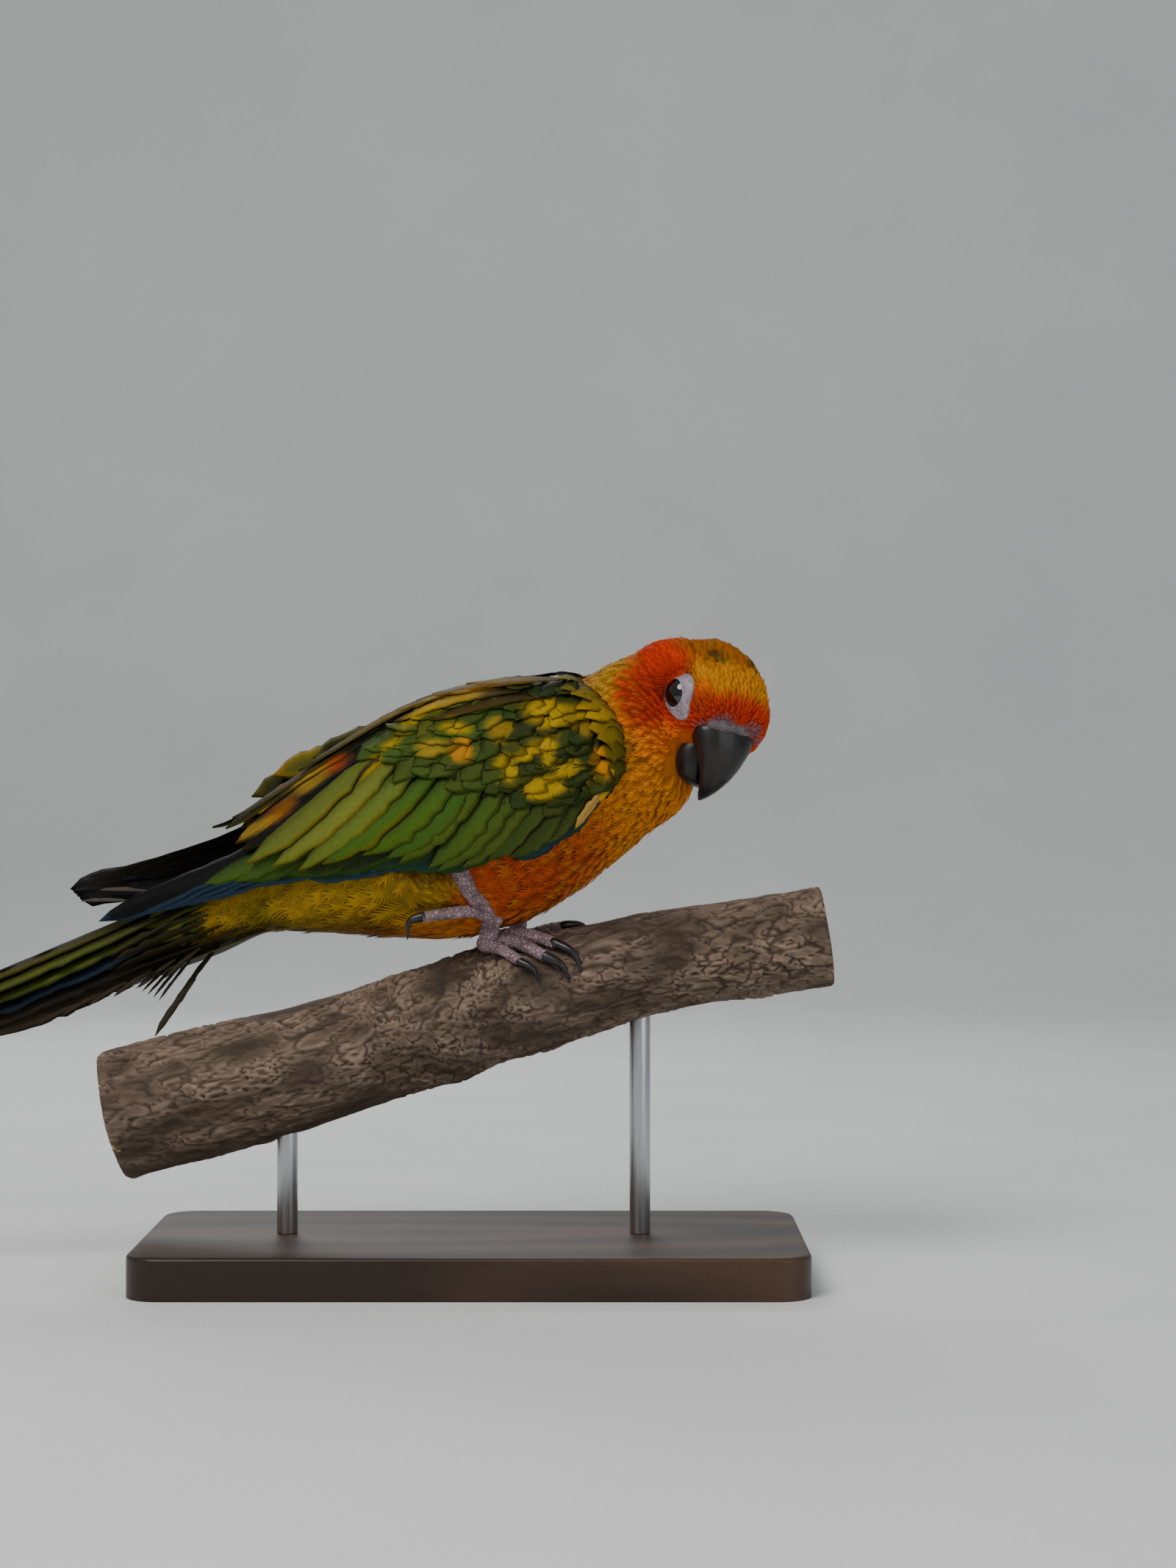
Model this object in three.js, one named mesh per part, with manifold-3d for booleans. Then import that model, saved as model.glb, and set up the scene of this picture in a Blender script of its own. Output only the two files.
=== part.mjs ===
// Sun conure gripping a cut length of branch, held on a plain display stand.
// Millimetres, +Z up. The bird faces +X, its midline lies in the plane Y = 0,
// and the origin is on the floor under the stand's base.
import * as THREE from "three";
import { mergeVertices } from "three/addons/utils/BufferGeometryUtils.js";
import Module from "manifold-3d";

const wasm = await Module();
wasm.setup();

// Driving dimensions
const GAP = 0.3;
const BODY_SEGMENTS = 24;
const BODY_STATIONS = 22;

// Outline of the feathered body from the tail root to the back of the head.
// Each station has its top and bottom in the plane Y = 0, and its half width.
const BODY = [
  { top: [-54, 116.5], bottom: [-52, 100.5], half: 7.5 },
  { top: [-41, 126], bottom: [-38, 99.5], half: 12.5 },
  { top: [-25, 140], bottom: [-20, 98.6], half: 18.5 },
  { top: [-8, 154], bottom: [-2, 97.4], half: 23 },
  { top: [8, 164.5], bottom: [14, 97.2], half: 25.6 },
  { top: [24, 170], bottom: [31, 101.5], half: 26.6 },
  { top: [38, 171.5], bottom: [45, 108.8], half: 25.6 },
  { top: [50, 173.2], bottom: [58, 118.8], half: 23 },
  { top: [59, 178], bottom: [70, 128.8], half: 20.5 },
  { top: [66, 181.4], bottom: [79, 135.2], half: 15.5 },
  { top: [77, 183], bottom: [82.5, 144], half: 8 },
];

// Head: turned towards the bird's right, bowed, and a little rolled
const HEAD_CENTRE = [87, -4, 166.4];
const HEAD_YAW = 70;
const HEAD_PITCH = 35;
const HEAD_ROLL = -16;
const SKULL = { length: 20, width: 15.4, height: 15.4 };

// Soft swellings and hollows of the head: direction, rise and angular spread
const HEAD_SHAPE = [
  { toward: [0.1, 0.85, -0.5], rise: 2.6, spread: 34 },
  { toward: [0.1, -0.85, -0.5], rise: 2.6, spread: 34 },
  { toward: [0.62, 0.6, -0.5], rise: 1.6, spread: 22 },
  { toward: [0.62, -0.6, -0.5], rise: 1.6, spread: 22 },
  { toward: [0.34, 0.9, 0.25], rise: -0.8, spread: 20 },
  { toward: [0.34, -0.9, 0.25], rise: -0.8, spread: 20 },
  { toward: [0.72, 0.5, 0.2], rise: 1.4, spread: 22 },
  { toward: [0.72, -0.5, 0.2], rise: 1.4, spread: 22 },
  { toward: [-0.7, 0.3, 0.62], rise: 0.6, spread: 34 },
  { toward: [-0.7, -0.3, 0.62], rise: 0.6, spread: 34 },
  { toward: [0.75, 0, 0.65], rise: 0.6, spread: 34 },
];

// Eye in the head's own frame
const EYE = { at: [5.4, 12.6, 0.9], toward: [0.42, 0.9, 0.03], radius: 4.5 };
const EYE_RING = { radius: 6.1, lid: 3.9, lidThickness: 0.8 };

// Bill in the head's own frame, as pairs of upper and lower edge with half width
const UPPER_BILL = [
  { top: [10, 1.5], bottom: [6, -7], half: 5.6 },
  { top: [17.5, 2.5], bottom: [12, -8.6], half: 6.2 },
  { top: [22, -0.2], bottom: [15.6, -10], half: 6.3 },
  { top: [25.2, -5.4], bottom: [18.4, -12.4], half: 5.6 },
  { top: [26.2, -11.6], bottom: [20, -15.4], half: 4.4 },
  { top: [25.9, -17.6], bottom: [20.9, -18.6], half: 2.9 },
  { top: [23.8, -22.4], bottom: [21.4, -22], half: 1.5 },
  { top: [22.1, -25], bottom: [21.7, -24.8], half: 0.4 },
];
const LOWER_BILL = [
  { top: [4, -8], bottom: [2, -17], half: 4.8 },
  { top: [9.5, -9.4], bottom: [7.4, -20], half: 6.7 },
  { top: [13.6, -11.2], bottom: [12.2, -21.6], half: 6.2 },
  { top: [16.8, -13.8], bottom: [16.4, -20.6], half: 4.4 },
  { top: [18.4, -15.4], bottom: [18.5, -17.8], half: 2.4 },
];
const MOUTH_LINE = 0.4;
const CERE = { at: [16.6, 0, 0.6], size: [3.4, 6.4, 4.4], tilt: 38 };
const NOSTRIL = { at: [18.7, 3, 3.1], radius: 1 };

// Perch: the cut branch's axis in X and Z, with its radius
const PERCH = [
  { at: [-86, 46], radius: 18.4 },
  { at: [-50, 54.6], radius: 17.8 },
  { at: [-12.8, 66], radius: 16.8 },
  { at: [8.5, 73], radius: 16.3 },
  { at: [29.8, 79.8], radius: 16.6 },
  { at: [61.7, 88.4], radius: 14.6 },
  { at: [93.6, 94.2], radius: 13.8 },
  { at: [120, 98.2], radius: 14.2 },
];
const PERCH_SEGMENTS = 20;
const PERCH_STATIONS = 20;
const KNOTS = [
  { along: 0.7, around: 70, rise: 2.2, length: 9, spread: 34 },
  { along: 0.16, around: -40, rise: 1.8, length: 8, spread: 30 },
  { along: 0.44, around: 150, rise: 2, length: 10, spread: 40 },
];
const BARK_RIDGE = 0.5;

// Stand
const BASE = { length: 190, width: 92, height: 12, centre: 18, corner: 10 };
const ROD = { radius: 3, places: [-36, 66] };

// Small helpers
const vec = (x, y, z) => new THREE.Vector3(x, y, z);
const radians = (angle) => THREE.MathUtils.degToRad(angle);
const mix = (a, b, t) => a + (b - a) * t;
const clamp = THREE.MathUtils.clamp;

// Smooth value at t from 0 to 1 through evenly spaced values
function through(values, t) {
  const last = values.length - 1;
  const place = clamp(t, 0, 1) * last;
  const i = Math.min(Math.floor(place), last - 1);
  const f = place - i;
  const p1 = values[i];
  const p2 = values[i + 1];
  const p0 = i > 0 ? values[i - 1] : 2 * p1 - p2;
  const p3 = i + 2 <= last ? values[i + 2] : 2 * p2 - p1;
  const a = 2 * p1;
  const b = p2 - p0;
  const c = 2 * p0 - 5 * p1 + 4 * p2 - p3;
  const d = 3 * p1 - p0 - 3 * p2 + p3;
  return 0.5 * (a + b * f + c * f * f + d * f * f * f);
}

// A closed geometry from points and triangles, turned so that its faces point out
function closed(points, triangles) {
  const flat = points.flatMap((p) => [p.x, p.y, p.z]);
  let volume = 0;
  for (let i = 0; i < triangles.length; i += 3) {
    const [a, b, c] = [points[triangles[i]], points[triangles[i + 1]], points[triangles[i + 2]]];
    volume += a.dot(vec(0, 0, 0).crossVectors(b, c));
  }
  const index = volume < 0 ? [...triangles].reverse() : triangles;
  const geometry = new THREE.BufferGeometry();
  geometry.setAttribute("position", new THREE.Float32BufferAttribute(flat, 3));
  geometry.setIndex(index);
  return geometry;
}

// A closed skin over rings of equal count, with a fan over each end
function skin(rings) {
  const count = rings[0].length;
  const points = rings.flat();
  const triangles = [];
  for (let i = 0; i + 1 < rings.length; i += 1) {
    for (let j = 0; j < count; j += 1) {
      const a = i * count + j;
      const b = i * count + ((j + 1) % count);
      triangles.push(a, b, a + count, b, b + count, a + count);
    }
  }
  for (const [ring, flip] of [[0, true], [rings.length - 1, false]]) {
    const middle = vec(0, 0, 0);
    rings[ring].forEach((p) => middle.add(p));
    points.push(middle.multiplyScalar(1 / count));
    const hub = points.length - 1;
    for (let j = 0; j < count; j += 1) {
      const a = ring * count + j;
      const b = ring * count + ((j + 1) % count);
      triangles.push(...(flip ? [hub, b, a] : [hub, a, b]));
    }
  }
  return closed(points, triangles);
}

function toSolid(geometry) {
  const bare = geometry.clone();
  bare.deleteAttribute("normal");
  bare.deleteAttribute("uv");
  const merged = mergeVertices(bare, 1e-4);
  const vertProperties = new Float32Array(merged.attributes.position.array);
  const triVerts = new Uint32Array(merged.index.array);
  return new wasm.Manifold(new wasm.Mesh({ numProp: 3, vertProperties, triVerts }));
}

function join(solids) {
  return solids.reduce((whole, piece) => whole.add(piece));
}

// The largest closed surface of a solid, which drops any loose scrap
function largest(solid) {
  return solid.decompose().reduce((a, b) => (a.volume() >= b.volume() ? a : b));
}

function toGeometry(solid) {
  const mesh = largest(solid).getMesh();
  const geometry = new THREE.BufferGeometry();
  const places = new Float32Array(mesh.numVert * 3);
  for (let i = 0; i < mesh.numVert; i += 1) {
    for (let k = 0; k < 3; k += 1) {
      places[i * 3 + k] = mesh.vertProperties[i * mesh.numProp + k];
    }
  }
  geometry.setAttribute("position", new THREE.BufferAttribute(places, 3));
  geometry.setIndex(Array.from(mesh.triVerts));
  geometry.computeVertexNormals();
  return geometry;
}

// Everything on one side of a plane, as a large box with one face on it
const REACH = 400;
function beyond(point, normal, clearance) {
  const box = new THREE.BoxGeometry(REACH, REACH, REACH);
  const turn = new THREE.Quaternion().setFromUnitVectors(vec(0, 0, 1), normal);
  box.translate(0, 0, REACH / 2 + clearance);
  box.applyQuaternion(turn);
  box.translate(point.x, point.y, point.z);
  return toSolid(box);
}

// Body outline at t: centre, direction from bottom to top, half height and half width
function station(outline, t) {
  const pick = (key, k) => through(outline.map((row) => row[key][k]), t);
  const top = vec(pick("top", 0), 0, pick("top", 1));
  const bottom = vec(pick("bottom", 0), 0, pick("bottom", 1));
  const up = top.clone().sub(bottom);
  const height = up.length() / 2;
  const centre = top.clone().add(bottom).multiplyScalar(0.5);
  return { centre, up: up.normalize(), height, half: through(outline.map((row) => row.half), t) };
}

// A form lofted over an outline of top and bottom pairs, grown outwards by grow
function pairForm(outline, { grow = 0, stations, segments, round = 1, matrix = null }) {
  const rings = [];
  for (let i = 0; i <= stations; i += 1) {
    const t = i / stations;
    const { centre, up, height, half } = station(outline, t);
    const before = station(outline, Math.max(t - 0.01, 0)).centre;
    const after = station(outline, Math.min(t + 0.01, 1)).centre;
    const along = after.sub(before).normalize();
    const end = (i === stations ? 1 : 0) - (i === 0 ? 1 : 0);
    const ring = [];
    for (let j = 0; j < segments; j += 1) {
      const angle = (2 * Math.PI * j) / segments;
      const c = Math.cos(angle);
      const s = Math.sin(angle);
      const wide = Math.sign(c) * Math.abs(c) ** round * (half + grow);
      const high = Math.sign(s) * Math.abs(s) ** round * (height + grow);
      const point = centre.clone().addScaledVector(up, high).addScaledVector(along, end * grow);
      point.y += wide;
      ring.push(matrix ? point.applyMatrix4(matrix) : point);
    }
    rings.push(ring);
  }
  return skin(rings);
}

// A tube through points with a radius at each, closed at both ends
function tubeForm(points, radii, { grow = 0, steps, segments, flat = 1 }) {
  const curve = new THREE.CatmullRomCurve3(points);
  const frames = curve.computeFrenetFrames(steps, false);
  const rings = [];
  for (let i = 0; i <= steps; i += 1) {
    const t = i / steps;
    const centre = curve.getPointAt(t);
    const radius = through(radii, curve.getUtoTmapping(t)) + grow;
    const end = (i === steps ? 1 : 0) - (i === 0 ? 1 : 0);
    centre.addScaledVector(frames.tangents[i], end * grow);
    const ring = [];
    for (let j = 0; j < segments; j += 1) {
      const angle = (2 * Math.PI * j) / segments;
      const point = centre.clone();
      point.addScaledVector(frames.normals[i], radius * Math.cos(angle) * flat);
      point.addScaledVector(frames.binormals[i], radius * Math.sin(angle));
      ring.push(point);
    }
    rings.push(ring);
  }
  return skin(rings);
}

// Head frame
const headMatrix = new THREE.Matrix4()
  .makeTranslation(...HEAD_CENTRE)
  .multiply(new THREE.Matrix4().makeRotationZ(radians(-HEAD_YAW)))
  .multiply(new THREE.Matrix4().makeRotationY(radians(HEAD_PITCH)))
  .multiply(new THREE.Matrix4().makeRotationX(radians(HEAD_ROLL)));

function skullRadius(direction) {
  const { length, width, height } = SKULL;
  const even = Math.hypot(direction.x / length, direction.y / width, direction.z / height);
  let radius = 1 / even;
  for (const { toward, rise, spread } of HEAD_SHAPE) {
    const angle = direction.angleTo(vec(...toward));
    radius += rise * Math.exp(-((angle / radians(spread)) ** 2));
  }
  return radius;
}

function headForm(grow) {
  const ball = new THREE.SphereGeometry(1, 22, 14);
  ball.rotateZ(-Math.PI / 2);
  const places = ball.attributes.position;
  for (let i = 0; i < places.count; i += 1) {
    const direction = vec().fromBufferAttribute(places, i).normalize();
    const point = direction.clone().multiplyScalar(skullRadius(direction) + grow);
    point.applyMatrix4(headMatrix);
    places.setXYZ(i, point.x, point.y, point.z);
  }
  return toSolid(ball);
}

function ellipsoid(at, size, tilt, matrix, grow = 0) {
  const ball = new THREE.SphereGeometry(1, 14, 8);
  ball.scale(size[0] + grow, size[1] + grow, size[2] + grow);
  ball.rotateY(radians(tilt));
  ball.translate(...at);
  if (matrix) {
    ball.applyMatrix4(matrix);
  }
  return toSolid(ball);
}

const bodyForm = (grow) =>
  toSolid(pairForm(BODY, { grow, stations: BODY_STATIONS, segments: BODY_SEGMENTS, round: 0.94 }));
const cereForm = (grow) => ellipsoid(CERE.at, CERE.size, CERE.tilt, headMatrix, grow);
const upperForm = (grow) =>
  toSolid(pairForm(UPPER_BILL, { grow, stations: 14, segments: 14, round: 0.86, matrix: headMatrix }));
const lowerForm = (grow) =>
  toSolid(pairForm(LOWER_BILL, { grow, stations: 7, segments: 12, round: 0.86, matrix: headMatrix }));

// Eyes
function eyeFrame(side) {
  const turn = new THREE.Quaternion().setFromUnitVectors(
    vec(0, 0, 1),
    vec(EYE.toward[0], side * EYE.toward[1], EYE.toward[2]).normalize(),
  );
  return headMatrix
    .clone()
    .multiply(new THREE.Matrix4().makeTranslation(EYE.at[0], side * EYE.at[1], EYE.at[2]))
    .multiply(new THREE.Matrix4().makeRotationFromQuaternion(turn));
}

function eyeBall(side, grow) {
  const ball = new THREE.SphereGeometry(EYE.radius + grow, 14, 8);
  ball.applyMatrix4(eyeFrame(side));
  return toSolid(ball);
}

// Bare ring of skin round the eye, with the rim of the lids standing on it
function eyeRing(side) {
  const { radius, lid, lidThickness } = EYE_RING;
  const surface = 3;
  const profile = [
    new THREE.Vector2(0, -2),
    new THREE.Vector2(radius, -2),
    new THREE.Vector2(radius, surface - 0.9),
    new THREE.Vector2(radius - 0.8, surface - 0.2),
    new THREE.Vector2(lid + lidThickness, surface),
    new THREE.Vector2(lid, surface + lidThickness),
    new THREE.Vector2(lid - lidThickness, surface),
    new THREE.Vector2(0, surface),
  ];
  const ring = new THREE.LatheGeometry(profile, 14);
  ring.rotateX(Math.PI / 2);
  ring.applyMatrix4(eyeFrame(side));
  return ring;
}

// The lathe's seam is welded before it becomes a solid
function latheSolid(geometry) {
  const bare = geometry.clone();
  bare.deleteAttribute("normal");
  bare.deleteAttribute("uv");
  const merged = mergeVertices(bare, 1e-4);
  const points = [];
  for (let i = 0; i < merged.attributes.position.count; i += 1) {
    points.push(vec().fromBufferAttribute(merged.attributes.position, i));
  }
  const index = Array.from(merged.index.array);
  const kept = [];
  for (let i = 0; i < index.length; i += 3) {
    const [a, b, c] = index.slice(i, i + 3);
    if (a !== b && b !== c && c !== a) {
      kept.push(a, b, c);
    }
  }
  return toSolid(closed(points, kept));
}

// Perch
const perchCurve = new THREE.CatmullRomCurve3(PERCH.map(({ at }) => vec(at[0], 0, at[1])));

// Height and slope of the perch's axis, and its radius, above the place x
function perchAt(x) {
  let low = 0;
  let high = 1;
  for (let i = 0; i < 30; i += 1) {
    const middle = (low + high) / 2;
    if (perchCurve.getPoint(middle).x < x) {
      low = middle;
    } else {
      high = middle;
    }
  }
  const centre = perchCurve.getPoint(low);
  const along = perchCurve.getTangent(low);
  return { t: low, centre, along, radius: through(PERCH.map((row) => row.radius), low) };
}

// Place on the perch: x along it, angle from its top towards the bird's right
function onPerch(x, angle, lift) {
  const { centre, along, radius } = perchAt(x);
  const up = vec(-along.z, 0, along.x);
  const out = radius + lift;
  return centre
    .clone()
    .addScaledVector(up, out * Math.cos(radians(angle)))
    .add(vec(0, -out * Math.sin(radians(angle)), 0));
}

function perchRadius(t, angle, radius) {
  let out = radius;
  for (const { along, around, rise, length, spread } of KNOTS) {
    const far = ((t - along) * 206) / length;
    const turn = THREE.MathUtils.euclideanModulo(angle - around + 180, 360) - 180;
    out += rise * Math.exp(-far * far - (turn / spread) ** 2);
  }
  const wander = 11 * t + 0.6 * Math.sin(9 * t);
  return out + BARK_RIDGE * Math.sin(radians(angle) * 5 + wander) * Math.sin(7 * t + 1);
}

function perchForm(grow) {
  const rings = [];
  for (let i = 0; i <= PERCH_STATIONS; i += 1) {
    const t = i / PERCH_STATIONS;
    const centre = perchCurve.getPoint(t);
    const along = perchCurve.getTangent(t);
    const up = vec(-along.z, 0, along.x);
    const radius = through(PERCH.map((row) => row.radius), t);
    const ring = [];
    for (let j = 0; j < PERCH_SEGMENTS; j += 1) {
      const angle = (360 * j) / PERCH_SEGMENTS;
      const out = perchRadius(t, angle, radius) + grow;
      const point = centre.clone().addScaledVector(up, out * Math.cos(radians(angle)));
      point.y -= out * Math.sin(radians(angle));
      ring.push(point);
    }
    rings.push(ring);
  }
  return toSolid(skin(rings));
}

// Legs: the right one is the near side's, the left one stands behind it
const LEGS = {
  right: {
    side: -1,
    thigh: [[-4, 13, 119], [7, 16.4, 115.6], [15.4, 19, 114.4]],
    ankle: [[15.6, 19.4, 114.6], [18.6, 18, 110.4], [22.8, 13, 104.8]],
    palm: [27.4, 22],
    toes: [
      { name: "1", path: [[27.4, 24], [31, 38], [34.6, 55]], radius: 1.7, claw: [[37.6, 66], [38, 79]] },
      { name: "2", path: [[28, 20], [35, 34], [41.6, 57]], radius: 2, claw: [[45.4, 70], [46, 86]] },
      { name: "3", path: [[28.6, 16], [37, 22], [45, 46]], radius: 2, claw: [[49.4, 62], [49.8, 84]] },
      { name: "4", air: [[25.4, 10.6, 103], [19, 17, 105.8], [11.4, 21.4, 105.4], [4.8, 23, 104.6]],
        radius: 1.8, claw: [[0.6, 23.4, 103], [0.2, 23.4, 98]] },
    ],
  },
  left: {
    side: 1,
    thigh: [[0, 13, 119], [11, 16.4, 115.6], [19.6, 19, 114.6]],
    ankle: [[20.4, 19.4, 115], [25, 20, 110.6], [30, 17.6, 104]],
    palm: [34, -40],
    toes: [
      { name: "1", path: [[33, -42], [26, -34], [21, -38]], radius: 1.7, claw: [[17.6, -46], [16.8, -56]] },
      { name: "2", path: [[34.6, -38], [41, -30], [48, -28]], radius: 1.9, claw: [[53, -36], [54.5, -48]] },
      { name: "3", path: [[34.8, -42], [42, -48], [50, -62]], radius: 2, claw: [[53.5, -74], [54, -88]] },
      { name: "4", path: [[33, -44], [24, -52], [16, -66]], radius: 1.9, claw: [[12, -78], [11.4, -92]] },
    ],
  },
};
const TARSUS = { top: 2.9, ankle: 2.3, palm: 2.8 };

// Axis of a toe in space, lying on the perch or held in the air
function toeAxis(toe, side) {
  if (toe.air) {
    return toe.air.map(([x, y, z]) => vec(x, side * y, z));
  }
  const lift = toe.radius + GAP + 0.5;
  return toe.path.map(([x, angle]) => onPerch(x, angle, lift));
}

function clawAxis(toe, side) {
  const axis = toeAxis(toe, side);
  const end = axis[axis.length - 1];
  const ahead = end.clone().sub(axis[axis.length - 2]).normalize();
  const start = end.clone().addScaledVector(ahead, 1.2 * GAP);
  const rest = toe.air
    ? toe.claw.map(([x, y, z]) => vec(x, side * y, z))
    : [onPerch(...toe.claw[0], 2.9), onPerch(...toe.claw[1], 0.9)];
  return [start, start.clone().addScaledVector(ahead, 0.8), ...rest];
}

function clawForm(toe, side, grow = 0) {
  const base = toe.radius * 0.72;
  const radii = [base, base * 0.96, base * 0.6, 0.3];
  return toSolid(tubeForm(clawAxis(toe, side), radii, { grow, steps: 5, segments: 6 }));
}

function toeForm(toe, side) {
  const axis = toeAxis(toe, side);
  const radii = axis.map((_, i) => toe.radius * mix(1.12, 0.8, i / (axis.length - 1)));
  return toSolid(tubeForm(axis, radii, { steps: 6, segments: 7 }));
}

function thighForm({ side, thigh }, grow) {
  const axis = thigh.map(([x, y, z]) => vec(x, side * y, z));
  return toSolid(tubeForm(axis, [10.5, 8.6, 3.6], { grow, steps: 5, segments: 12 }));
}

function footForm(leg) {
  const palm = onPerch(...leg.palm, 2.6);
  const shank = [...leg.ankle.map(([x, y, z]) => vec(x, leg.side * y, z)), palm];
  const tarsus = toSolid(tubeForm(
    shank,
    [TARSUS.top, TARSUS.ankle, TARSUS.ankle, TARSUS.palm],
    { steps: 7, segments: 8 },
  ));
  const pad = new THREE.SphereGeometry(TARSUS.palm, 8, 6);
  pad.translate(palm.x, palm.y, palm.z);
  return join([tarsus, toSolid(pad), ...leg.toes.map((toe) => toeForm(toe, leg.side))]);
}

// Folded wing. Its sheet is the smooth surface that the feathers lie on.
const WING_SHEET = [
  { top: [-106, 122], bottom: [-102, 93], half: 5.4 },
  { top: [-78, 122], bottom: [-75, 94], half: 10 },
  { top: [-54, 128], bottom: [-51, 95], half: 13.4 },
  { top: [-38, 138], bottom: [-34, 96], half: 17 },
  { top: [-22, 149], bottom: [-17, 97], half: 21 },
  { top: [-6, 159], bottom: [0, 97], half: 24.6 },
  { top: [10, 166], bottom: [16, 97], half: 26.4 },
  { top: [26, 170], bottom: [32, 100], half: 27 },
  { top: [40, 172], bottom: [46, 106], half: 26 },
  { top: [54, 175], bottom: [60, 114], half: 23.6 },
  { top: [66, 180], bottom: [72, 122], half: 21 },
];

// Place on the wing's sheet: side view x and z, side, and lift off the flank
function onWing(x, z, side, lift) {
  let low = 0;
  let high = 1;
  for (let i = 0; i < 24; i += 1) {
    const middle = (low + high) / 2;
    const { centre, up } = station(WING_SHEET, middle);
    const beside = (x - centre.x) * up.z - (z - centre.z) * up.x;
    if (beside > 0) {
      low = middle;
    } else {
      high = middle;
    }
  }
  const { centre, up, height, half } = station(WING_SHEET, low);
  const rise = (x - centre.x) * up.x + (z - centre.z) * up.z;
  const angle = Math.asin(clamp(rise / height, -0.94, 0.94));
  const point = centre.clone().addScaledVector(up, (height + lift) * Math.sin(angle));
  point.y = side * (half + lift) * Math.cos(angle);
  return point;
}

// The far wing is carried a little higher and shows longer primaries
const CARRY = { right: { side: -1, turn: 0, reach: 1 }, left: { side: 1, turn: -4.2, reach: 1.05 } };
const SHOULDER = [48, 152];

function carried([x, z], { turn, reach }) {
  const c = Math.cos(radians(turn)) * reach;
  const s = Math.sin(radians(turn)) * reach;
  const [dx, dz] = [x - SHOULDER[0], z - SHOULDER[1]];
  return [SHOULDER[0] + dx * c - dz * s, SHOULDER[1] + dx * s + dz * c];
}

// Edges of the wing's fleshy core in the side view, from its bend backwards
const WING_EDGE = {
  upper: [[55.5, 147], [47, 162], [30, 165], [10, 160], [-8, 150], [-20, 140], [-27, 131]],
  lower: [[54.4, 139.5], [43, 132], [28, 125], [10, 123.5], [-6, 123], [-18, 122.5], [-26, 123.5]],
};
const WING_THICK = { bend: 4.6, tip: 3 };

function wingCore(carry) {
  const along = 10;
  const across = 5;
  const edge = (name, t) =>
    carried([0, 1].map((k) => through(WING_EDGE[name].map((row) => row[k]), t)), carry);
  const points = [];
  for (const face of [0, 1]) {
    for (let i = 0; i <= along; i += 1) {
      for (let j = 0; j <= across; j += 1) {
        const t = i / along;
        const v = j / across;
        const [low, high] = [edge("lower", t), edge("upper", t)];
        const rim = Math.sqrt(Math.sin(Math.PI * mix(0.08, 0.92, v)));
        const thick = mix(WING_THICK.bend, WING_THICK.tip, t) * rim;
        const lift = face ? thick : -0.6;
        points.push(onWing(mix(low[0], high[0], v), mix(low[1], high[1], v), carry.side, lift));
      }
    }
  }
  const row = across + 1;
  const layer = (along + 1) * row;
  const triangles = [];
  for (let i = 0; i < along; i += 1) {
    for (let j = 0; j < across; j += 1) {
      const a = i * row + j;
      triangles.push(a, a + 1, a + row + 1, a, a + row + 1, a + row);
      const b = a + layer;
      triangles.push(b, b + row + 1, b + 1, b, b + row, b + row + 1);
    }
  }
  const rim = [
    ...Array.from({ length: across }, (_, j) => j),
    ...Array.from({ length: along }, (_, i) => i * row + across),
    ...Array.from({ length: across }, (_, j) => along * row + across - j),
    ...Array.from({ length: along }, (_, i) => (along - i) * row),
  ];
  rim.forEach((a, k) => {
    const b = rim[(k + 1) % rim.length];
    triangles.push(b, a, a + layer, b, a + layer, b + layer);
  });
  return toSolid(closed(points, triangles));
}

// A thin vane through its stations, with both faces split into triangles alike
const VANE_THICK = 0.6;
function vane(stations) {
  const points = [];
  for (const { place, across, out, width } of stations) {
    for (const [a, o] of [[-1, 1], [1, 1], [1, -1], [-1, -1]]) {
      const corner = place.clone().addScaledVector(across, (a * width) / 2);
      points.push(corner.addScaledVector(out, (o * VANE_THICK) / 2));
    }
  }
  const triangles = [0, 2, 1, 0, 3, 2];
  for (let i = 0; i + 4 < points.length; i += 4) {
    const [a, b, c, d] = [i, i + 1, i + 2, i + 3];
    triangles.push(a, b, b + 4, a, b + 4, a + 4);
    triangles.push(c, d, c + 4, d, d + 4, c + 4);
    triangles.push(b, c, b + 4, c, c + 4, b + 4);
    triangles.push(d, a, a + 4, d, a + 4, d + 4);
  }
  const end = points.length - 4;
  triangles.push(end, end + 1, end + 2, end, end + 2, end + 3);
  return toSolid(closed(points, triangles));
}

// Tracts of the folded wing: lines of roots and of tips in the side view, from
// the front or lower feather to the rear or upper one, and lift at root and tip
const TRACTS = [
  { count: 6, root: [[22, 127], [-12, 137]], tip: [[-36, 112.6], [-88.4, 102.2]],
    width: [8.5, 8.5], lift: [2.4, 1.2], tilt: 10, bow: -3 },
  { count: 8, root: [[36, 130], [2, 150]], tip: [[10, 119.6], [-57, 122]],
    width: [9.5, 13], lift: [3, 3.2], tilt: 10, bow: -2 },
  { count: 7, root: [[46, 135], [4, 154]], tip: [[27, 122.6], [-25, 130]],
    width: [9.5, 12], lift: [3.2, 5.2], tilt: 10, bow: -1.5 },
  { count: 5, root: [[51, 141], [14, 158]], tip: [[37, 130.5], [-2, 143]],
    width: [10, 12], lift: [3.4, 6.4], tilt: 11, bow: -1 },
  { count: 4, root: [[54, 147], [28, 163]], tip: [[44, 138], [15, 151]],
    width: [11, 12], lift: [3.4, 7.2], tilt: 12, bow: -1 },
  { count: 4, root: [[50, 157], [16, 163]], tip: [[30, 149], [-43, 139]],
    width: [12, 14], lift: [3.2, 4.8], tilt: 12, bow: 2 },
];
const VANE_OUTLINE = { along: [0, 0.42, 0.8, 1], width: [0.66, 1, 0.86, 0.26] };

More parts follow.
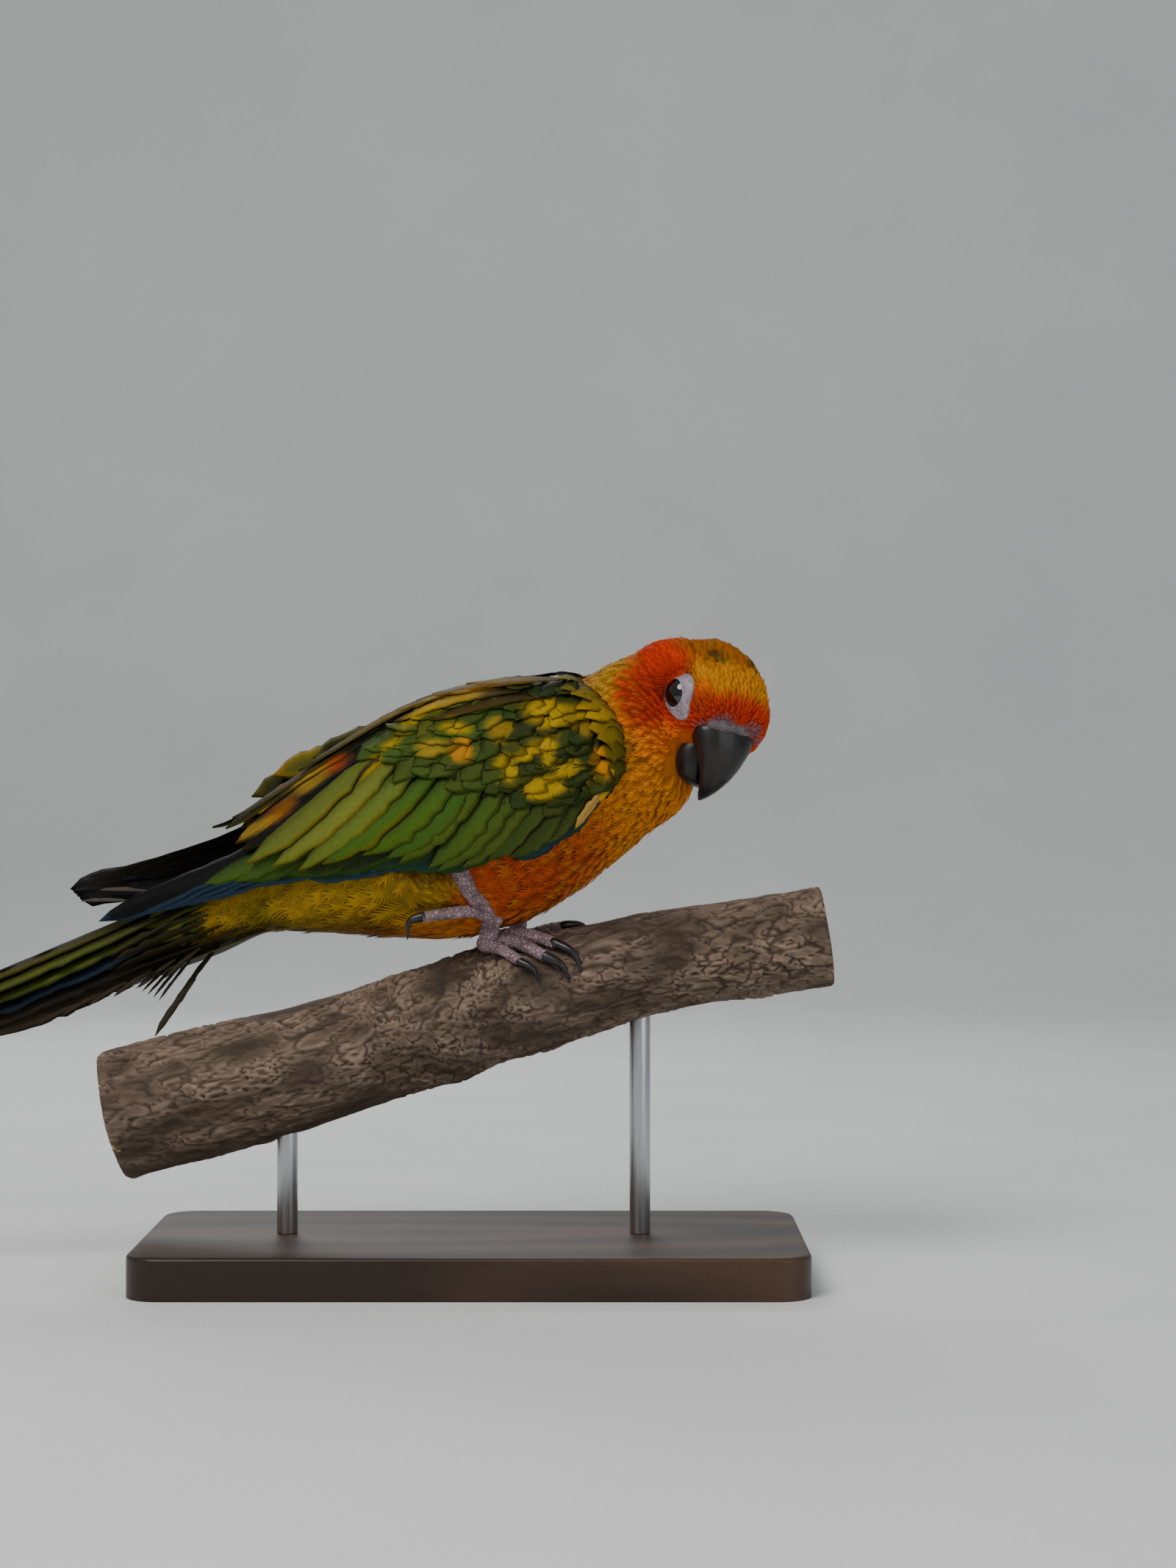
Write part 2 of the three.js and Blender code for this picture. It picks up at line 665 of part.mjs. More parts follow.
function wingVanes(carry) {
  const vanes = [];
  for (const { count, root, tip, width, lift, tilt, bow } of TRACTS) {
    for (let i = 0; i < count; i += 1) {
      const u = i / (count - 1);
      const start = [0, 1].map((k) => mix(root[0][k], root[1][k], u));
      const end = [0, 1].map((k) => mix(tip[0][k], tip[1][k], u));
      const wander = carry.side * 0.5 * Math.sin(5 * i + count);
      const lie = (t, up) => {
        const sag = (bow + wander) * Math.sin(Math.PI * t);
        const flat = [mix(start[0], end[0], t), mix(start[1], end[1], t) + sag];
        return onWing(...carried(flat, carry), carry.side, mix(...lift, t ** 0.8) + up);
      };
      const stations = VANE_OUTLINE.along.map((t, k) => {
        const place = lie(t, 0);
        const out = lie(t, 1).sub(place).normalize();
        const ahead = lie(Math.min(t + 0.02, 1), 0).sub(lie(Math.max(t - 0.02, 0), 0)).normalize();
        const across = vec().crossVectors(out, ahead).normalize();
        across.multiplyScalar(Math.sign(across.z) || 1);
        const turned = across.clone().multiplyScalar(Math.cos(radians(tilt)));
        turned.addScaledVector(out, -Math.sin(radians(tilt)));
        const normal = vec().crossVectors(ahead, turned).normalize();
        normal.multiplyScalar(Math.sign(normal.dot(out)));
        return { place, across: turned, out: normal, width: mix(...width, u) * VANE_OUTLINE.width[k] };
      });
      vanes.push(vane(stations));
    }
  }
  return vanes;
}

// Tail: a tapered core, with the feathers laid as a roof, outer ones steeper and shorter
const TAIL_CORE = [
  { top: [-42, 121.6], bottom: [-40, 100.2], half: 10.6 },
  { top: [-52, 116.8], bottom: [-51, 97.6], half: 9.2 },
  { top: [-62, 111], bottom: [-61, 94.8], half: 7.2 },
  { top: [-72, 105], bottom: [-71, 93], half: 4.8 },
  { top: [-82, 99], bottom: [-81.5, 93.5], half: 1.8 },
];
const TAIL_LINE = { at: [-50, 109], slope: 22.8 };
const TAIL_FEATHERS = { lengths: [134, 117, 102, 88, 76], tilt: 13, spread: 12, width: 12.8, top: 5 };
const TAIL_COVERTS = [
  { count: 2, from: -2, lengths: [34, 27], width: 9.6, top: 8.4, drop: 4, spread: 26 },
  { count: 2, from: 0, lengths: [38, 30], width: 12, top: -8.6, drop: -4, spread: -26 },
];

function tailVanes() {
  const back = vec(-Math.cos(radians(TAIL_LINE.slope)), 0, -Math.sin(radians(TAIL_LINE.slope)));
  const up = vec(back.z, 0, -back.x);
  const origin = vec(TAIL_LINE.at[0], 0, TAIL_LINE.at[1]);
  const vanes = [];
  const lay = ({ start, length, height, fall, side, tilt, width, inner }) => {
    const across = vec(0, side * Math.cos(radians(tilt)), 0).addScaledVector(up, -Math.sin(radians(tilt)));
    const out = vec(0, side * Math.sin(radians(tilt)), 0).addScaledVector(up, Math.cos(radians(tilt)));
    const stations = VANE_OUTLINE.along.map((t, k) => {
      const breadth = width * VANE_OUTLINE.width[k];
      const place = origin.clone().addScaledVector(back, start + length * t);
      place.addScaledVector(up, height + fall * t);
      place.y += side * inner;
      place.addScaledVector(across, width / 2);
      return { place, across, out, width: breadth };
    });
    vanes.push(vane(stations));
  };
  for (const side of [-1, 1]) {
    let height = TAIL_FEATHERS.top - (side > 0 ? 1.1 : 0);
    TAIL_FEATHERS.lengths.forEach((length, i) => {
      const tilt = TAIL_FEATHERS.tilt + TAIL_FEATHERS.spread * i;
      height -= i ? 1.1 / Math.cos(radians(tilt)) : 0;
      const inner = i ? 0.5 : -3;
      lay({ start: 6, length: length - 6, height, fall: 0, side, tilt, width: TAIL_FEATHERS.width, inner });
    });
    for (const { count, from, lengths, width, top, drop, spread } of TAIL_COVERTS) {
      for (let i = 0; i < count; i += 1) {
        const height = top - i * drop - Math.sign(top) * (side > 0 ? 0.5 : 0);
        const tilt = spread * (i + 0.5);
        lay({ start: from, length: lengths[i], height, fall: -drop * 0.8, side, tilt, width, inner: i + 0.4 });
      }
    }
  }
  return vanes;
}

// Assembly
const body = bodyForm(0);
const bodyGrown = bodyForm(GAP);
const head = headForm(0);
const headGrown = headForm(GAP);
const flesh = body.add(head);

const NECK_CUT = { at: vec(49, 0, 148), toward: vec(0.86, 0, 0.51).normalize() };
const HEAD_CUT = { at: vec(69, 0, 158), toward: vec(0.92, -0.14, 0.36).normalize() };
const TAIL_CUT = { at: vec(-48, 0, 108), toward: vec(-0.95, 0, -0.31).normalize() };
const cut = ({ at, toward }, side) =>
  beyond(at, toward.clone().multiplyScalar(side), GAP / 2);

const thighs = { right: thighForm(LEGS.right, 0), left: thighForm(LEGS.left, 0) };
const thighsGrown = { right: thighForm(LEGS.right, GAP), left: thighForm(LEGS.left, GAP) };

const nodes = new Map();
function node(name, solid, material) {
  nodes.set(name, { solid, material });
}

const torso = flesh.intersect(cut(NECK_CUT, -1)).intersect(cut(TAIL_CUT, -1));
node("torso", torso, "plumage_body");
const eyes = [-1, 1].map((side) => latheSolid(eyeRing(side)));
const sockets = [-1, 1].map((side) => eyeBall(side, GAP));
const neck = flesh.intersect(cut(NECK_CUT, 1)).intersect(cut(HEAD_CUT, -1));
node("neck", neck, "plumage_neck");

const nostrils = [-1, 1].map((side) => {
  const ball = new THREE.SphereGeometry(NOSTRIL.radius, 10, 8);
  ball.translate(NOSTRIL.at[0], side * NOSTRIL.at[1], NOSTRIL.at[2]);
  ball.applyMatrix4(headMatrix);
  return toSolid(ball);
});
const upperBill = upperForm(0);
const lowerBill = lowerForm(0);
const headWhole = join([flesh.intersect(cut(HEAD_CUT, 1)), cereForm(0), ...eyes])
  .subtract(join(sockets))
  .subtract(join(nostrils));
node("head", headWhole, "plumage_head");
const headCutter = headGrown.add(cereForm(GAP)).add(bodyGrown);
node("bill_upper", upperBill.subtract(headCutter), "horn");
node("bill_lower", lowerBill.subtract(upperForm(MOUTH_LINE)).subtract(headCutter), "horn");
node("eye_right", eyeBall(-1, 0), "eye");
node("eye_left", eyeBall(1, 0), "eye");

const perch = perchForm(0);
const perchGrown = perchForm(GAP);
node("perch", perch, "bark");

for (const [name, leg] of Object.entries(LEGS)) {
  node(`thigh_${name}`, thighs[name].subtract(bodyGrown).subtract(perchGrown), "plumage_body");
  const foot = footForm(leg).subtract(thighsGrown[name]).subtract(bodyGrown).subtract(perchGrown);
  node(`foot_${name}`, foot, "foot_skin");
  for (const toe of leg.toes) {
    const claw = clawForm(toe, leg.side).subtract(perchGrown);
    node(`claw_${name}_${toe.name}`, claw, "claw");
  }
}

for (const [name, carry] of Object.entries(CARRY)) {
  const wing = join([wingCore(carry), ...wingVanes(carry)]);
  node(`wing_${name}`, wing.subtract(bodyGrown).subtract(thighsGrown[name]), "plumage_wing");
}
const tailCore = toSolid(pairForm(TAIL_CORE, { stations: 7, segments: 12, round: 0.9 }));
const tailWhole = flesh.add(tailCore).intersect(cut(TAIL_CUT, 1));
node("tail", join([tailWhole, ...tailVanes()]).intersect(cut(TAIL_CUT, 1)), "plumage_tail");

// Stand
function baseForm() {
  const { length, width, height, centre, corner } = BASE;
  const [x, y] = [length / 2 - corner, width / 2 - corner];
  const outline = new THREE.Shape();
  outline.absarc(x, y, corner, 0, Math.PI / 2, false);
  outline.absarc(-x, y, corner, Math.PI / 2, Math.PI, false);
  outline.absarc(-x, -y, corner, Math.PI, 1.5 * Math.PI, false);
  outline.absarc(x, -y, corner, 1.5 * Math.PI, 2 * Math.PI, false);
  const slab = new THREE.ExtrudeGeometry(outline, { depth: height, bevelEnabled: false, curveSegments: 5 });
  slab.translate(centre, 0, 0);
  return toSolid(slab);
}
node("stand_base", baseForm(), "stand_wood");
ROD.places.forEach((x, i) => {
  const top = perchAt(x).centre.z;
  const low = BASE.height + GAP;
  const rod = new THREE.CylinderGeometry(ROD.radius, ROD.radius, top - low, 20);
  rod.rotateX(Math.PI / 2);
  rod.translate(x, 0, (top + low) / 2);
  node(`stand_rod_${i + 1}`, toSolid(rod).subtract(perchGrown), "stand_metal");
});

const FINISH = {
  plumage_head: { color: 0xc8441c, roughness: 0.9, metalness: 0 },
  plumage_neck: { color: 0xd98a1c, roughness: 0.9, metalness: 0 },
  plumage_body: { color: 0xc9861e, roughness: 0.9, metalness: 0 },
  plumage_wing: { color: 0x3f6b1f, roughness: 0.8, metalness: 0 },
  plumage_tail: { color: 0x6b7420, roughness: 0.8, metalness: 0 },
  horn: { color: 0x1c1a1c, roughness: 0.35, metalness: 0 },
  eye: { color: 0x14100e, roughness: 0.1, metalness: 0 },
  foot_skin: { color: 0x9a7f86, roughness: 0.7, metalness: 0 },
  claw: { color: 0x2a262c, roughness: 0.4, metalness: 0 },
  bark: { color: 0x6b5348, roughness: 0.95, metalness: 0 },
  stand_wood: { color: 0x3b2c22, roughness: 0.5, metalness: 0 },
  stand_metal: { color: 0xb8babd, roughness: 0.35, metalness: 1 },
};

const group = new THREE.Group();
for (const [name, { solid, material }] of nodes) {
  const mesh = new THREE.Mesh(toGeometry(solid), new THREE.MeshStandardMaterial(FINISH[material]));
  mesh.name = name;
  group.add(mesh);
}

export default group;
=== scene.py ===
"""Look of a life-size sun conure on a cut length of branch, held on a plain stand.

Sizes are in millimetres while a piece is worked out, and metres in its mesh. The bird
faces +X, its midline lies in the plane Y = 0, and the floor is Z = 0.
"""

import logging
import math
from collections.abc import Callable, Iterable, Sequence
from dataclasses import dataclass, field
from enum import Enum
from itertools import product

import bmesh
import bpy
import numpy as np
from mathutils import Matrix, Vector, noise
from mathutils.bvhtree import BVHTree

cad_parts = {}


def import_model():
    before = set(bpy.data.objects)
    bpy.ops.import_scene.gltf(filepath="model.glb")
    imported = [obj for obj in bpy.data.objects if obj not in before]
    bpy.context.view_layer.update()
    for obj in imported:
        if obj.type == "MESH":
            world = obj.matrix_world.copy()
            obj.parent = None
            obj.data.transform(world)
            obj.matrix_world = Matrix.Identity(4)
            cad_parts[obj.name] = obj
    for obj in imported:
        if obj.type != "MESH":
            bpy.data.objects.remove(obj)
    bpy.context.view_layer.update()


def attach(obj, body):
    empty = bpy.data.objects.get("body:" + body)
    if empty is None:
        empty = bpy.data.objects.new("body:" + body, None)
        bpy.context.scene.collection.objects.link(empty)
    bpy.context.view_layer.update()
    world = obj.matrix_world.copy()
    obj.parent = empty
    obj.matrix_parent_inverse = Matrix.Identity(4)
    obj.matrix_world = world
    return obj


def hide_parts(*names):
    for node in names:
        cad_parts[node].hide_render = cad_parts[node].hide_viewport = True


Array = np.ndarray
Generator = np.random.Generator
BMesh = bmesh.types.BMesh
Object = bpy.types.Object
Material = bpy.types.Material
Socket = bpy.types.NodeSocket
Looks = dict[str, Material]
Pair = tuple[float, float]
Triple = tuple[float, float, float]
Five = tuple[float, float, float, float, float]
Colouring = Callable[[Array, Array, Array], Array]

LOG = logging.getLogger("sun_conure")
MM = 0.001
UPWARD = (0.0, 0.0, 1.0)
BAKE_MAP = "OFBake"
VANE_MAP = "Vane"
TINT = "Tint"
TUFT_PATCH = 0.003
ALONG_SCALE = 200.0


def linear(code: str) -> Array:
    """Turn a colour code, red, green and blue as hexadecimal pairs, into linear light."""
    raw = np.array([int(code[i : i + 2], 16) / 255 for i in (0, 2, 4)])
    return np.where(raw <= 0.04045, raw / 12.92, ((raw + 0.055) / 1.055) ** 2.4)


class Tone(Enum):
    """Colours of the bird, its bill and feet, and the perch."""

    FLAME = "cc3408"
    DEEP_RED = "a02c12"
    ORANGE = "dc6606"
    AMBER = "cc840a"
    YELLOW = "b8880a"
    LEMON = "ac8b0c"
    STRAW = "a8841c"
    CROWN = "96580a"
    OLIVE = "56520e"
    DARK_OLIVE = "29260c"
    BREAST = "d47e0e"
    GLOW = "f07c12"
    RUST = "ac4210"
    MUSTARD = "94740e"
    BROWN = "37291a"
    MANTLE = "3a2c0e"
    GREEN = "3a5018"
    DEEP_GREEN = "263312"
    BRIGHT_GREEN = "40661a"
    LEAF = "616b24"
    TEAL = "1a3a34"
    BLUE = "1e4260"
    INK = "0a0a0a"
    SLATE = "2e363c"
    DUSK = "362e22"
    PALE_BLUE = "4a6a88"
    SEPIA = "5e4a12"
    CREAM = "a07c42"
    CERE = "7e666a"
    ASH = "565048"

    @property
    def rgb(self) -> Array:
        """Linear light of this tone."""
        return linear(self.value)


class Side(Enum):
    """Sides of the bird, by the sign of Y."""

    RIGHT = -1
    LEFT = 1


def mixed(base: Array, tone: Array, weight: Array | float) -> Array:
    """Blend colours towards a tone by a weight from 0 to 1."""
    share = np.clip(np.asarray(weight, float), 0, 1)[..., None]
    return base * (1 - share) + tone * share


def layered(base: Array, layers: Iterable[tuple[Tone, Array | float]]) -> Array:
    """Blend colours towards one tone after another, each by its weight from 0 to 1."""
    for tone, weight in layers:
        base = mixed(base, tone.rgb, weight)
    return base


def smooth(value: Array | float, low: float, high: float) -> Array:
    """Rise smoothly from 0 at low to 1 at high."""
    t = np.clip((np.asarray(value, float) - low) / (high - low), 0, 1)
    return t * t * (3 - 2 * t)


def norm(rows: Array) -> Array:
    """Length of each row."""
    return np.linalg.norm(rows, axis=-1)


def circle(sides: int) -> Array:
    """Angles of evenly spaced places round a circle."""
    return np.linspace(0, 2 * math.pi, sides, endpoint=False)


def unit(rows: Array) -> Array:
    """Scale each row to length one."""
    return rows / np.maximum(np.linalg.norm(rows, axis=-1, keepdims=True), 1e-9)


def through(values: Sequence[Sequence[float]], t: Array | float) -> Array:
    """Follow evenly spaced values smoothly.

    Args:
        values: Rows of values to pass through.
        t: Place from 0 to 1, or an array of places.

    Returns:
        One row of values for each place.
    """
    rows = np.asarray(values, float)
    rows = rows[:, None] if rows.ndim == 1 else rows
    last = len(rows) - 1
    place = np.clip(np.asarray(t, float), 0, 1) * last
    i = np.minimum(place.astype(int), last - 1)
    f = (place - i)[..., None]
    padded = np.vstack([2 * rows[0] - rows[1], rows, 2 * rows[-1] - rows[-2]])
    p0, p1, p2, p3 = (padded[i + k] for k in range(4))
    cubic = 3 * p1 - p0 - 3 * p2 + p3
    return 0.5 * (2 * p1 + (p2 - p0) * f + (2 * p0 - 5 * p1 + 4 * p2 - p3) * f**2 + cubic * f**3)


@dataclass(frozen=True)
class Outline:
    """A form by its stations: top x and z, bottom x and z, and half width."""

    rows: tuple[Five, ...]

    def at(self, t: Array) -> tuple[Array, Array, Array, Array]:
        """Give the centre, the upward direction, the half height and the half width at t."""
        row = through(self.rows, t)
        zero = np.zeros(row.shape[:-1])
        top = np.stack([row[..., 0], zero, row[..., 1]], -1)
        bottom = np.stack([row[..., 2], zero, row[..., 3]], -1)
        height = norm(top - bottom) / 2
        return (top + bottom) / 2, unit(top - bottom), height, row[..., 4]

    def rings(
        self, steps: int, sides: int, grow: float = 0.0, square: float = 1.0
    ) -> list[Array]:
        """Work out the rings of the lofted form.

        Args:
            steps: Number of spans along the form.
            sides: Points in each ring.
            grow: Distance to add all round.
            square: Under 1 makes the section fuller.

        Returns:
            One array of points for each ring.
        """
        t = np.linspace(0, 1, steps + 1)
        centre, up, height, half = self.at(t)
        before = self.at(np.maximum(t - 0.01, 0))[0]
        after = self.at(np.minimum(t + 0.01, 1))[0]
        along = unit(after - before)
        angle = circle(sides)
        c, s = np.cos(angle), np.sin(angle)
        c, s = (np.sign(v) * np.abs(v) ** square for v in (c, s))
        rings = []
        for i in range(steps + 1):
            end = float(i == steps) - float(i == 0)
            ring = centre[i] + along[i] * end * grow + np.outer(s * (height[i] + grow), up[i])
            ring[:, 1] += c * (half[i] + grow)
            rings.append(ring)
        return rings


BODY = Outline(
    (
        (-54, 116.5, -52, 100.5, 7.5), (-41, 126, -38, 99.5, 12.5), (-25, 140, -20, 98.6, 18.5),
        (-8, 154, -2, 97.4, 23), (8, 164.5, 14, 97.2, 25.6), (24, 170, 31, 101.5, 26.6),
        (38, 171.5, 45, 108.8, 25.6), (50, 173.2, 58, 118.8, 23), (59, 178, 70, 128.8, 20.5),
        (66, 181.4, 79, 135.2, 15.5), (77, 183, 82.5, 144, 8),
    )
)
TAIL_CORE = Outline(
    (
        (-42, 121.6, -40, 100.2, 10.6), (-52, 116.8, -51, 97.6, 9.2), (-62, 111, -61, 94.8, 7.2),
        (-72, 105, -71, 93, 4.8), (-82, 99, -81.5, 93.5, 1.8),
    )
)
WING_SHEET = Outline(
    (
        (-106, 122, -102, 93, 5.4), (-78, 122, -75, 94, 10), (-54, 128, -51, 95, 13.4),
        (-38, 138, -34, 96, 17), (-22, 149, -17, 97, 21), (-6, 159, 0, 97, 24.6),
        (10, 166, 16, 97, 26.4), (26, 170, 32, 100, 27), (40, 172, 46, 106, 26),
        (54, 175, 60, 114, 23.6), (66, 180, 72, 122, 21),
    )
)
UPPER_BILL = Outline(
    (
        (10, 1.5, 6, -7, 8.6), (17.0, 2.3, 12, -8.8, 9.4), (21.0, -0.6, 15.4, -10.4, 8.2),
        (23.6, -5.6, 18.2, -12.4, 6.3), (24.4, -10.8, 19.6, -14.6, 4.7),
        (24.0, -15.6, 20.0, -16.9, 3.1), (22.6, -19.4, 20.4, -19.6, 1.7),
        (21.2, -21.8, 20.8, -21.6, 0.4),
    )
)
LOWER_BILL = Outline(
    (
        (4, -2, 2, -14.2, 5.2), (9.5, -1.0, 8.4, -17.2, 7.0), (13.6, -2.8, 12.0, -20.9, 8.9),
        (17.0, -8.6, 16.6, -20.4, 7.0), (18.8, -14.0, 18.9, -18.0, 3.9),
    )
)
BILL_ASIDE = -0.6


def from_rings(mesh: BMesh, rings: Iterable[Array]) -> list[bmesh.types.BMVert]:
    """Bridge rings of points into a closed form.

    Args:
        mesh: The mesh to add to.
        rings: Arrays of as many points each, in millimetres.

    Returns:
        The vertices that were made, ring after ring.
    """
    made: list[bmesh.types.BMVert] = []
    edges: list[bmesh.types.BMEdge] = []
    ends: list[list[bmesh.types.BMVert]] = []
    previous: list[bmesh.types.BMEdge] = []
    for ring in rings:
        circle = bmesh.ops.create_circle(mesh, segments=len(ring), radius=1, cap_ends=False)
        verts = circle["verts"]
        for vert, point in zip(verts, ring):
            vert.co = Vector(point) * MM
        edges = list({edge for vert in verts for edge in vert.link_edges})
        if previous:
            bmesh.ops.bridge_loops(mesh, edges=previous + edges)
        previous = edges
        ends.append(verts)
        made.extend(verts)
    for verts in (ends[0], ends[-1]):
        bmesh.ops.contextual_create(mesh, geom=verts)
    bmesh.ops.recalc_face_normals(mesh, faces=mesh.faces)
    return made


def open_ends(mesh: BMesh) -> None:
    """Take away the faces that close a lofted form's ends."""
    ends = [face for face in mesh.faces if len(face.verts) > 4]
    bmesh.ops.delete(mesh, geom=ends, context="FACES_ONLY")


def linked(name: str, data: bpy.types.ID) -> Object:
    """Make an object of some data and link it to the scene."""
    piece = bpy.data.objects.new(name, data)
    bpy.context.scene.collection.objects.link(piece)
    return piece


def finish_mesh(mesh: BMesh, name: str, shade_smooth: bool = True) -> Object:
    """Turn a bmesh into a linked object and free it."""
    data = bpy.data.meshes.new(name)
    mesh.to_mesh(data)
    mesh.free()
    for face in data.polygons:
        face.use_smooth = shade_smooth
    return linked(name, data)


def applied(piece: Object) -> Object:
    """Replace a piece's mesh by its modified one and drop the modifiers."""
    graph = bpy.context.evaluated_depsgraph_get()
    data = bpy.data.meshes.new_from_object(piece.evaluated_get(graph))
    data.name = piece.name
    piece.modifiers.clear()
    piece.data = data
    return piece


def refined(mesh: BMesh, name: str) -> Object:
    """Turn a bmesh into a linked object whose mesh is subdivided once."""
    piece = finish_mesh(mesh, name)
    modifier = piece.modifiers.new("Subdivision", "SUBSURF")
    modifier.levels = modifier.render_levels = 1
    return applied(piece)


def add_ball(mesh: BMesh, around: int, across: int, placed: Callable[[Array], Array]) -> None:
    """Add a sphere to a mesh, each unit place moved to where a function puts it, in millimetres."""
    ball = bmesh.ops.create_uvsphere(mesh, u_segments=around, v_segments=across, radius=1.0)
    for vert in ball["verts"]:
        vert.co = Vector(placed(np.array(vert.co))) * MM


def rise(edge: bmesh.types.BMEdge) -> float:
    """Height between an edge's ends, in metres."""
    return abs(edge.verts[0].co.z - edge.verts[1].co.z)


def round_edges(mesh: BMesh, edges: list[bmesh.types.BMEdge], reach: float, segments: int) -> None:
    """Round edges by a reach in millimetres."""
    bmesh.ops.bevel(mesh, geom=edges, offset=reach * MM, segments=segments, profile=0.5,
                    affect="EDGES", material=-1)


def settle(piece: Object, material: Material, slot: str, *nodes: str) -> None:
    """Dress a piece, set it on the body and hide the nodes it stands for."""
    piece.data.materials.clear()
    piece.data.materials.append(material)
    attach(piece, "root")
    if nodes:
        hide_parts(*nodes)
    LOG.info("%s: %d faces", piece.name, len(piece.data.polygons))


def filled(node: bpy.types.ShaderNode, **values: float | Sequence[float]) -> bpy.types.ShaderNode:
    """Set a node's sockets, named with underscores for blanks."""
    for key, value in values.items():
        node.inputs[key.replace("_", " ")].default_value = value
    return node


@dataclass
class Shader:
    """A material under construction, with its principled shader."""

    name: str
    material: Material = field(init=False)
    skin: bpy.types.ShaderNode = field(init=False)

    def __post_init__(self) -> None:
        """Start the material."""
        self.material = bpy.data.materials.new(self.name)
        self.material.use_nodes = True
        self.skin = self.material.node_tree.nodes["Principled BSDF"]

    def set(self, **values: float | Sequence[float]) -> None:
        """Set sockets of the principled shader."""
        filled(self.skin, **values)

    def add(self, kind: str, **settings: object) -> bpy.types.ShaderNode:
        """Add a node and set its properties."""
        node = self.material.node_tree.nodes.new(kind)
        for key, value in settings.items():
            setattr(node, key, value)
        return node

    def link(self, source: Socket, target: Socket) -> None:
        """Join two sockets."""
        self.material.node_tree.links.new(source, target)

    def math(self, kind: str, *values: Socket | float) -> Socket:
        """Add a math node on sockets or numbers and give its result."""
        node = self.add("ShaderNodeMath", operation=kind)
        for socket, value in zip(node.inputs, values):
            if isinstance(value, (int, float)):
                socket.default_value = value
            else:
                self.link(value, socket)
        return node.outputs[0]

    def place(self) -> Socket:
        """Give the Object coordinates."""
        return self.add("ShaderNodeTexCoord").outputs["Object"]

    def noise(
        self, at: Socket, scale: float, detail: float = 3.0, rough: float = 0.55
    ) -> Socket:
        """Add a noise texture and give its factor."""
        node = filled(self.add("ShaderNodeTexNoise"), Scale=scale, Detail=detail, Roughness=rough)
        self.link(at, node.inputs["Vector"])
        return node.outputs["Fac"]

    def ramp(
        self, value: Socket, stops: Sequence[tuple[float, Sequence[float]]]
    ) -> Socket:
        """Turn a value into a colour through stops of place and linear colour."""
        node = self.add("ShaderNodeValToRGB")
        ramp = node.color_ramp
        while len(ramp.elements) < len(stops):
            ramp.elements.new(0.5)
        for element, (place, colour) in zip(ramp.elements, stops):
            element.position = place
            element.color = (*colour, 1.0)
        self.link(value, node.inputs["Fac"])
        return node.outputs["Color"]

    def scaled(self, colour: Socket, value: Socket) -> None:
        """Multiply a colour by a grey value and use it as the base colour."""
        mix = self.add("ShaderNodeMix", data_type="RGBA", blend_type="MULTIPLY")
        filled(mix, Factor=1.0)
        self.link(colour, mix.inputs["A"])
        self.link(value, mix.inputs["B"])
        self.link(mix.outputs["Result"], self.skin.inputs["Base Color"])

    def stretched(
        self, at: Socket, scale: Sequence[float], turn: Sequence[float] = (0, 0, 0)
    ) -> Socket:
        """Scale and turn the coordinates of a pattern."""
        node = filled(self.add("ShaderNodeMapping"), Scale=scale, Rotation=turn)
        self.link(at, node.inputs["Vector"])
        return node.outputs["Vector"]

    def bump(self, height: Socket, strength: float, reach: float) -> None:
        """Raise the surface by a height, in front of any bump already there."""
        node = filled(self.add("ShaderNodeBump"), Strength=strength, Distance=reach)
        earlier = self.skin.inputs["Normal"].links
        if earlier:
            self.link(earlier[0].from_socket, node.inputs["Normal"])
        self.link(height, node.inputs["Height"])
        self.link(node.outputs["Normal"], self.skin.inputs["Normal"])


@dataclass(frozen=True)
class Finish:
    """A procedural material by its name."""

    name: str

    def build(self) -> Material:
        """Make the material."""
        shader = Shader(self.name)
        self.dress(shader)
        return shader.material

    def dress(self, shader: Shader) -> None:
        """Set up the shader."""
        raise NotImplementedError


@dataclass(frozen=True)
class PlumageFinish(Finish):
    """Feather surface that takes its colour from the Tint attribute."""

    roughness: float = 0.55
    sheen: float = 0.08
    shading: float = 0.3
    barbs: float = 0.0

    def dress(self, shader: Shader) -> None:
        """Set up the shader."""
        shader.set(Roughness=self.roughness, Sheen_Weight=self.sheen, Sheen_Roughness=0.4)
        shader.set(Specular_IOR_Level=0.1)
        tint = shader.add("ShaderNodeAttribute", attribute_name=TINT).outputs["Color"]
        grain = shader.noise(shader.place(), 900.0, 2.0)
        value = shader.math("MULTIPLY_ADD", grain, self.shading, 1.0 - self.shading / 2)
        if self.barbs:
            split = shader.add("ShaderNodeSeparateXYZ")
            shader.link(shader.add("ShaderNodeUVMap", uv_map=VANE_MAP).outputs[0], split.inputs[0])
            across, along = split.outputs[0], split.outputs[1]
            run = shader.math("MULTIPLY", shader.math("ABSOLUTE", across), -0.55)
            phase = shader.math("ADD", along, run)
            wander = shader.math("MULTIPLY", shader.noise(shader.place(), 220.0, 1.0), 0.012)
            phase = shader.math("ADD", phase, wander)
            turns = 2 * math.pi * ALONG_SCALE / self.barbs
            wave = shader.math("SINE", shader.math("MULTIPLY", phase, turns))
            value = shader.math("ADD", value, shader.math("MULTIPLY", wave, 0.07))
            shader.bump(wave, 0.35, 0.0001)
        shader.scaled(tint, value)
        shader.bump(shader.noise(shader.place(), 1400.0, 2.0), 0.25, 0.0002)


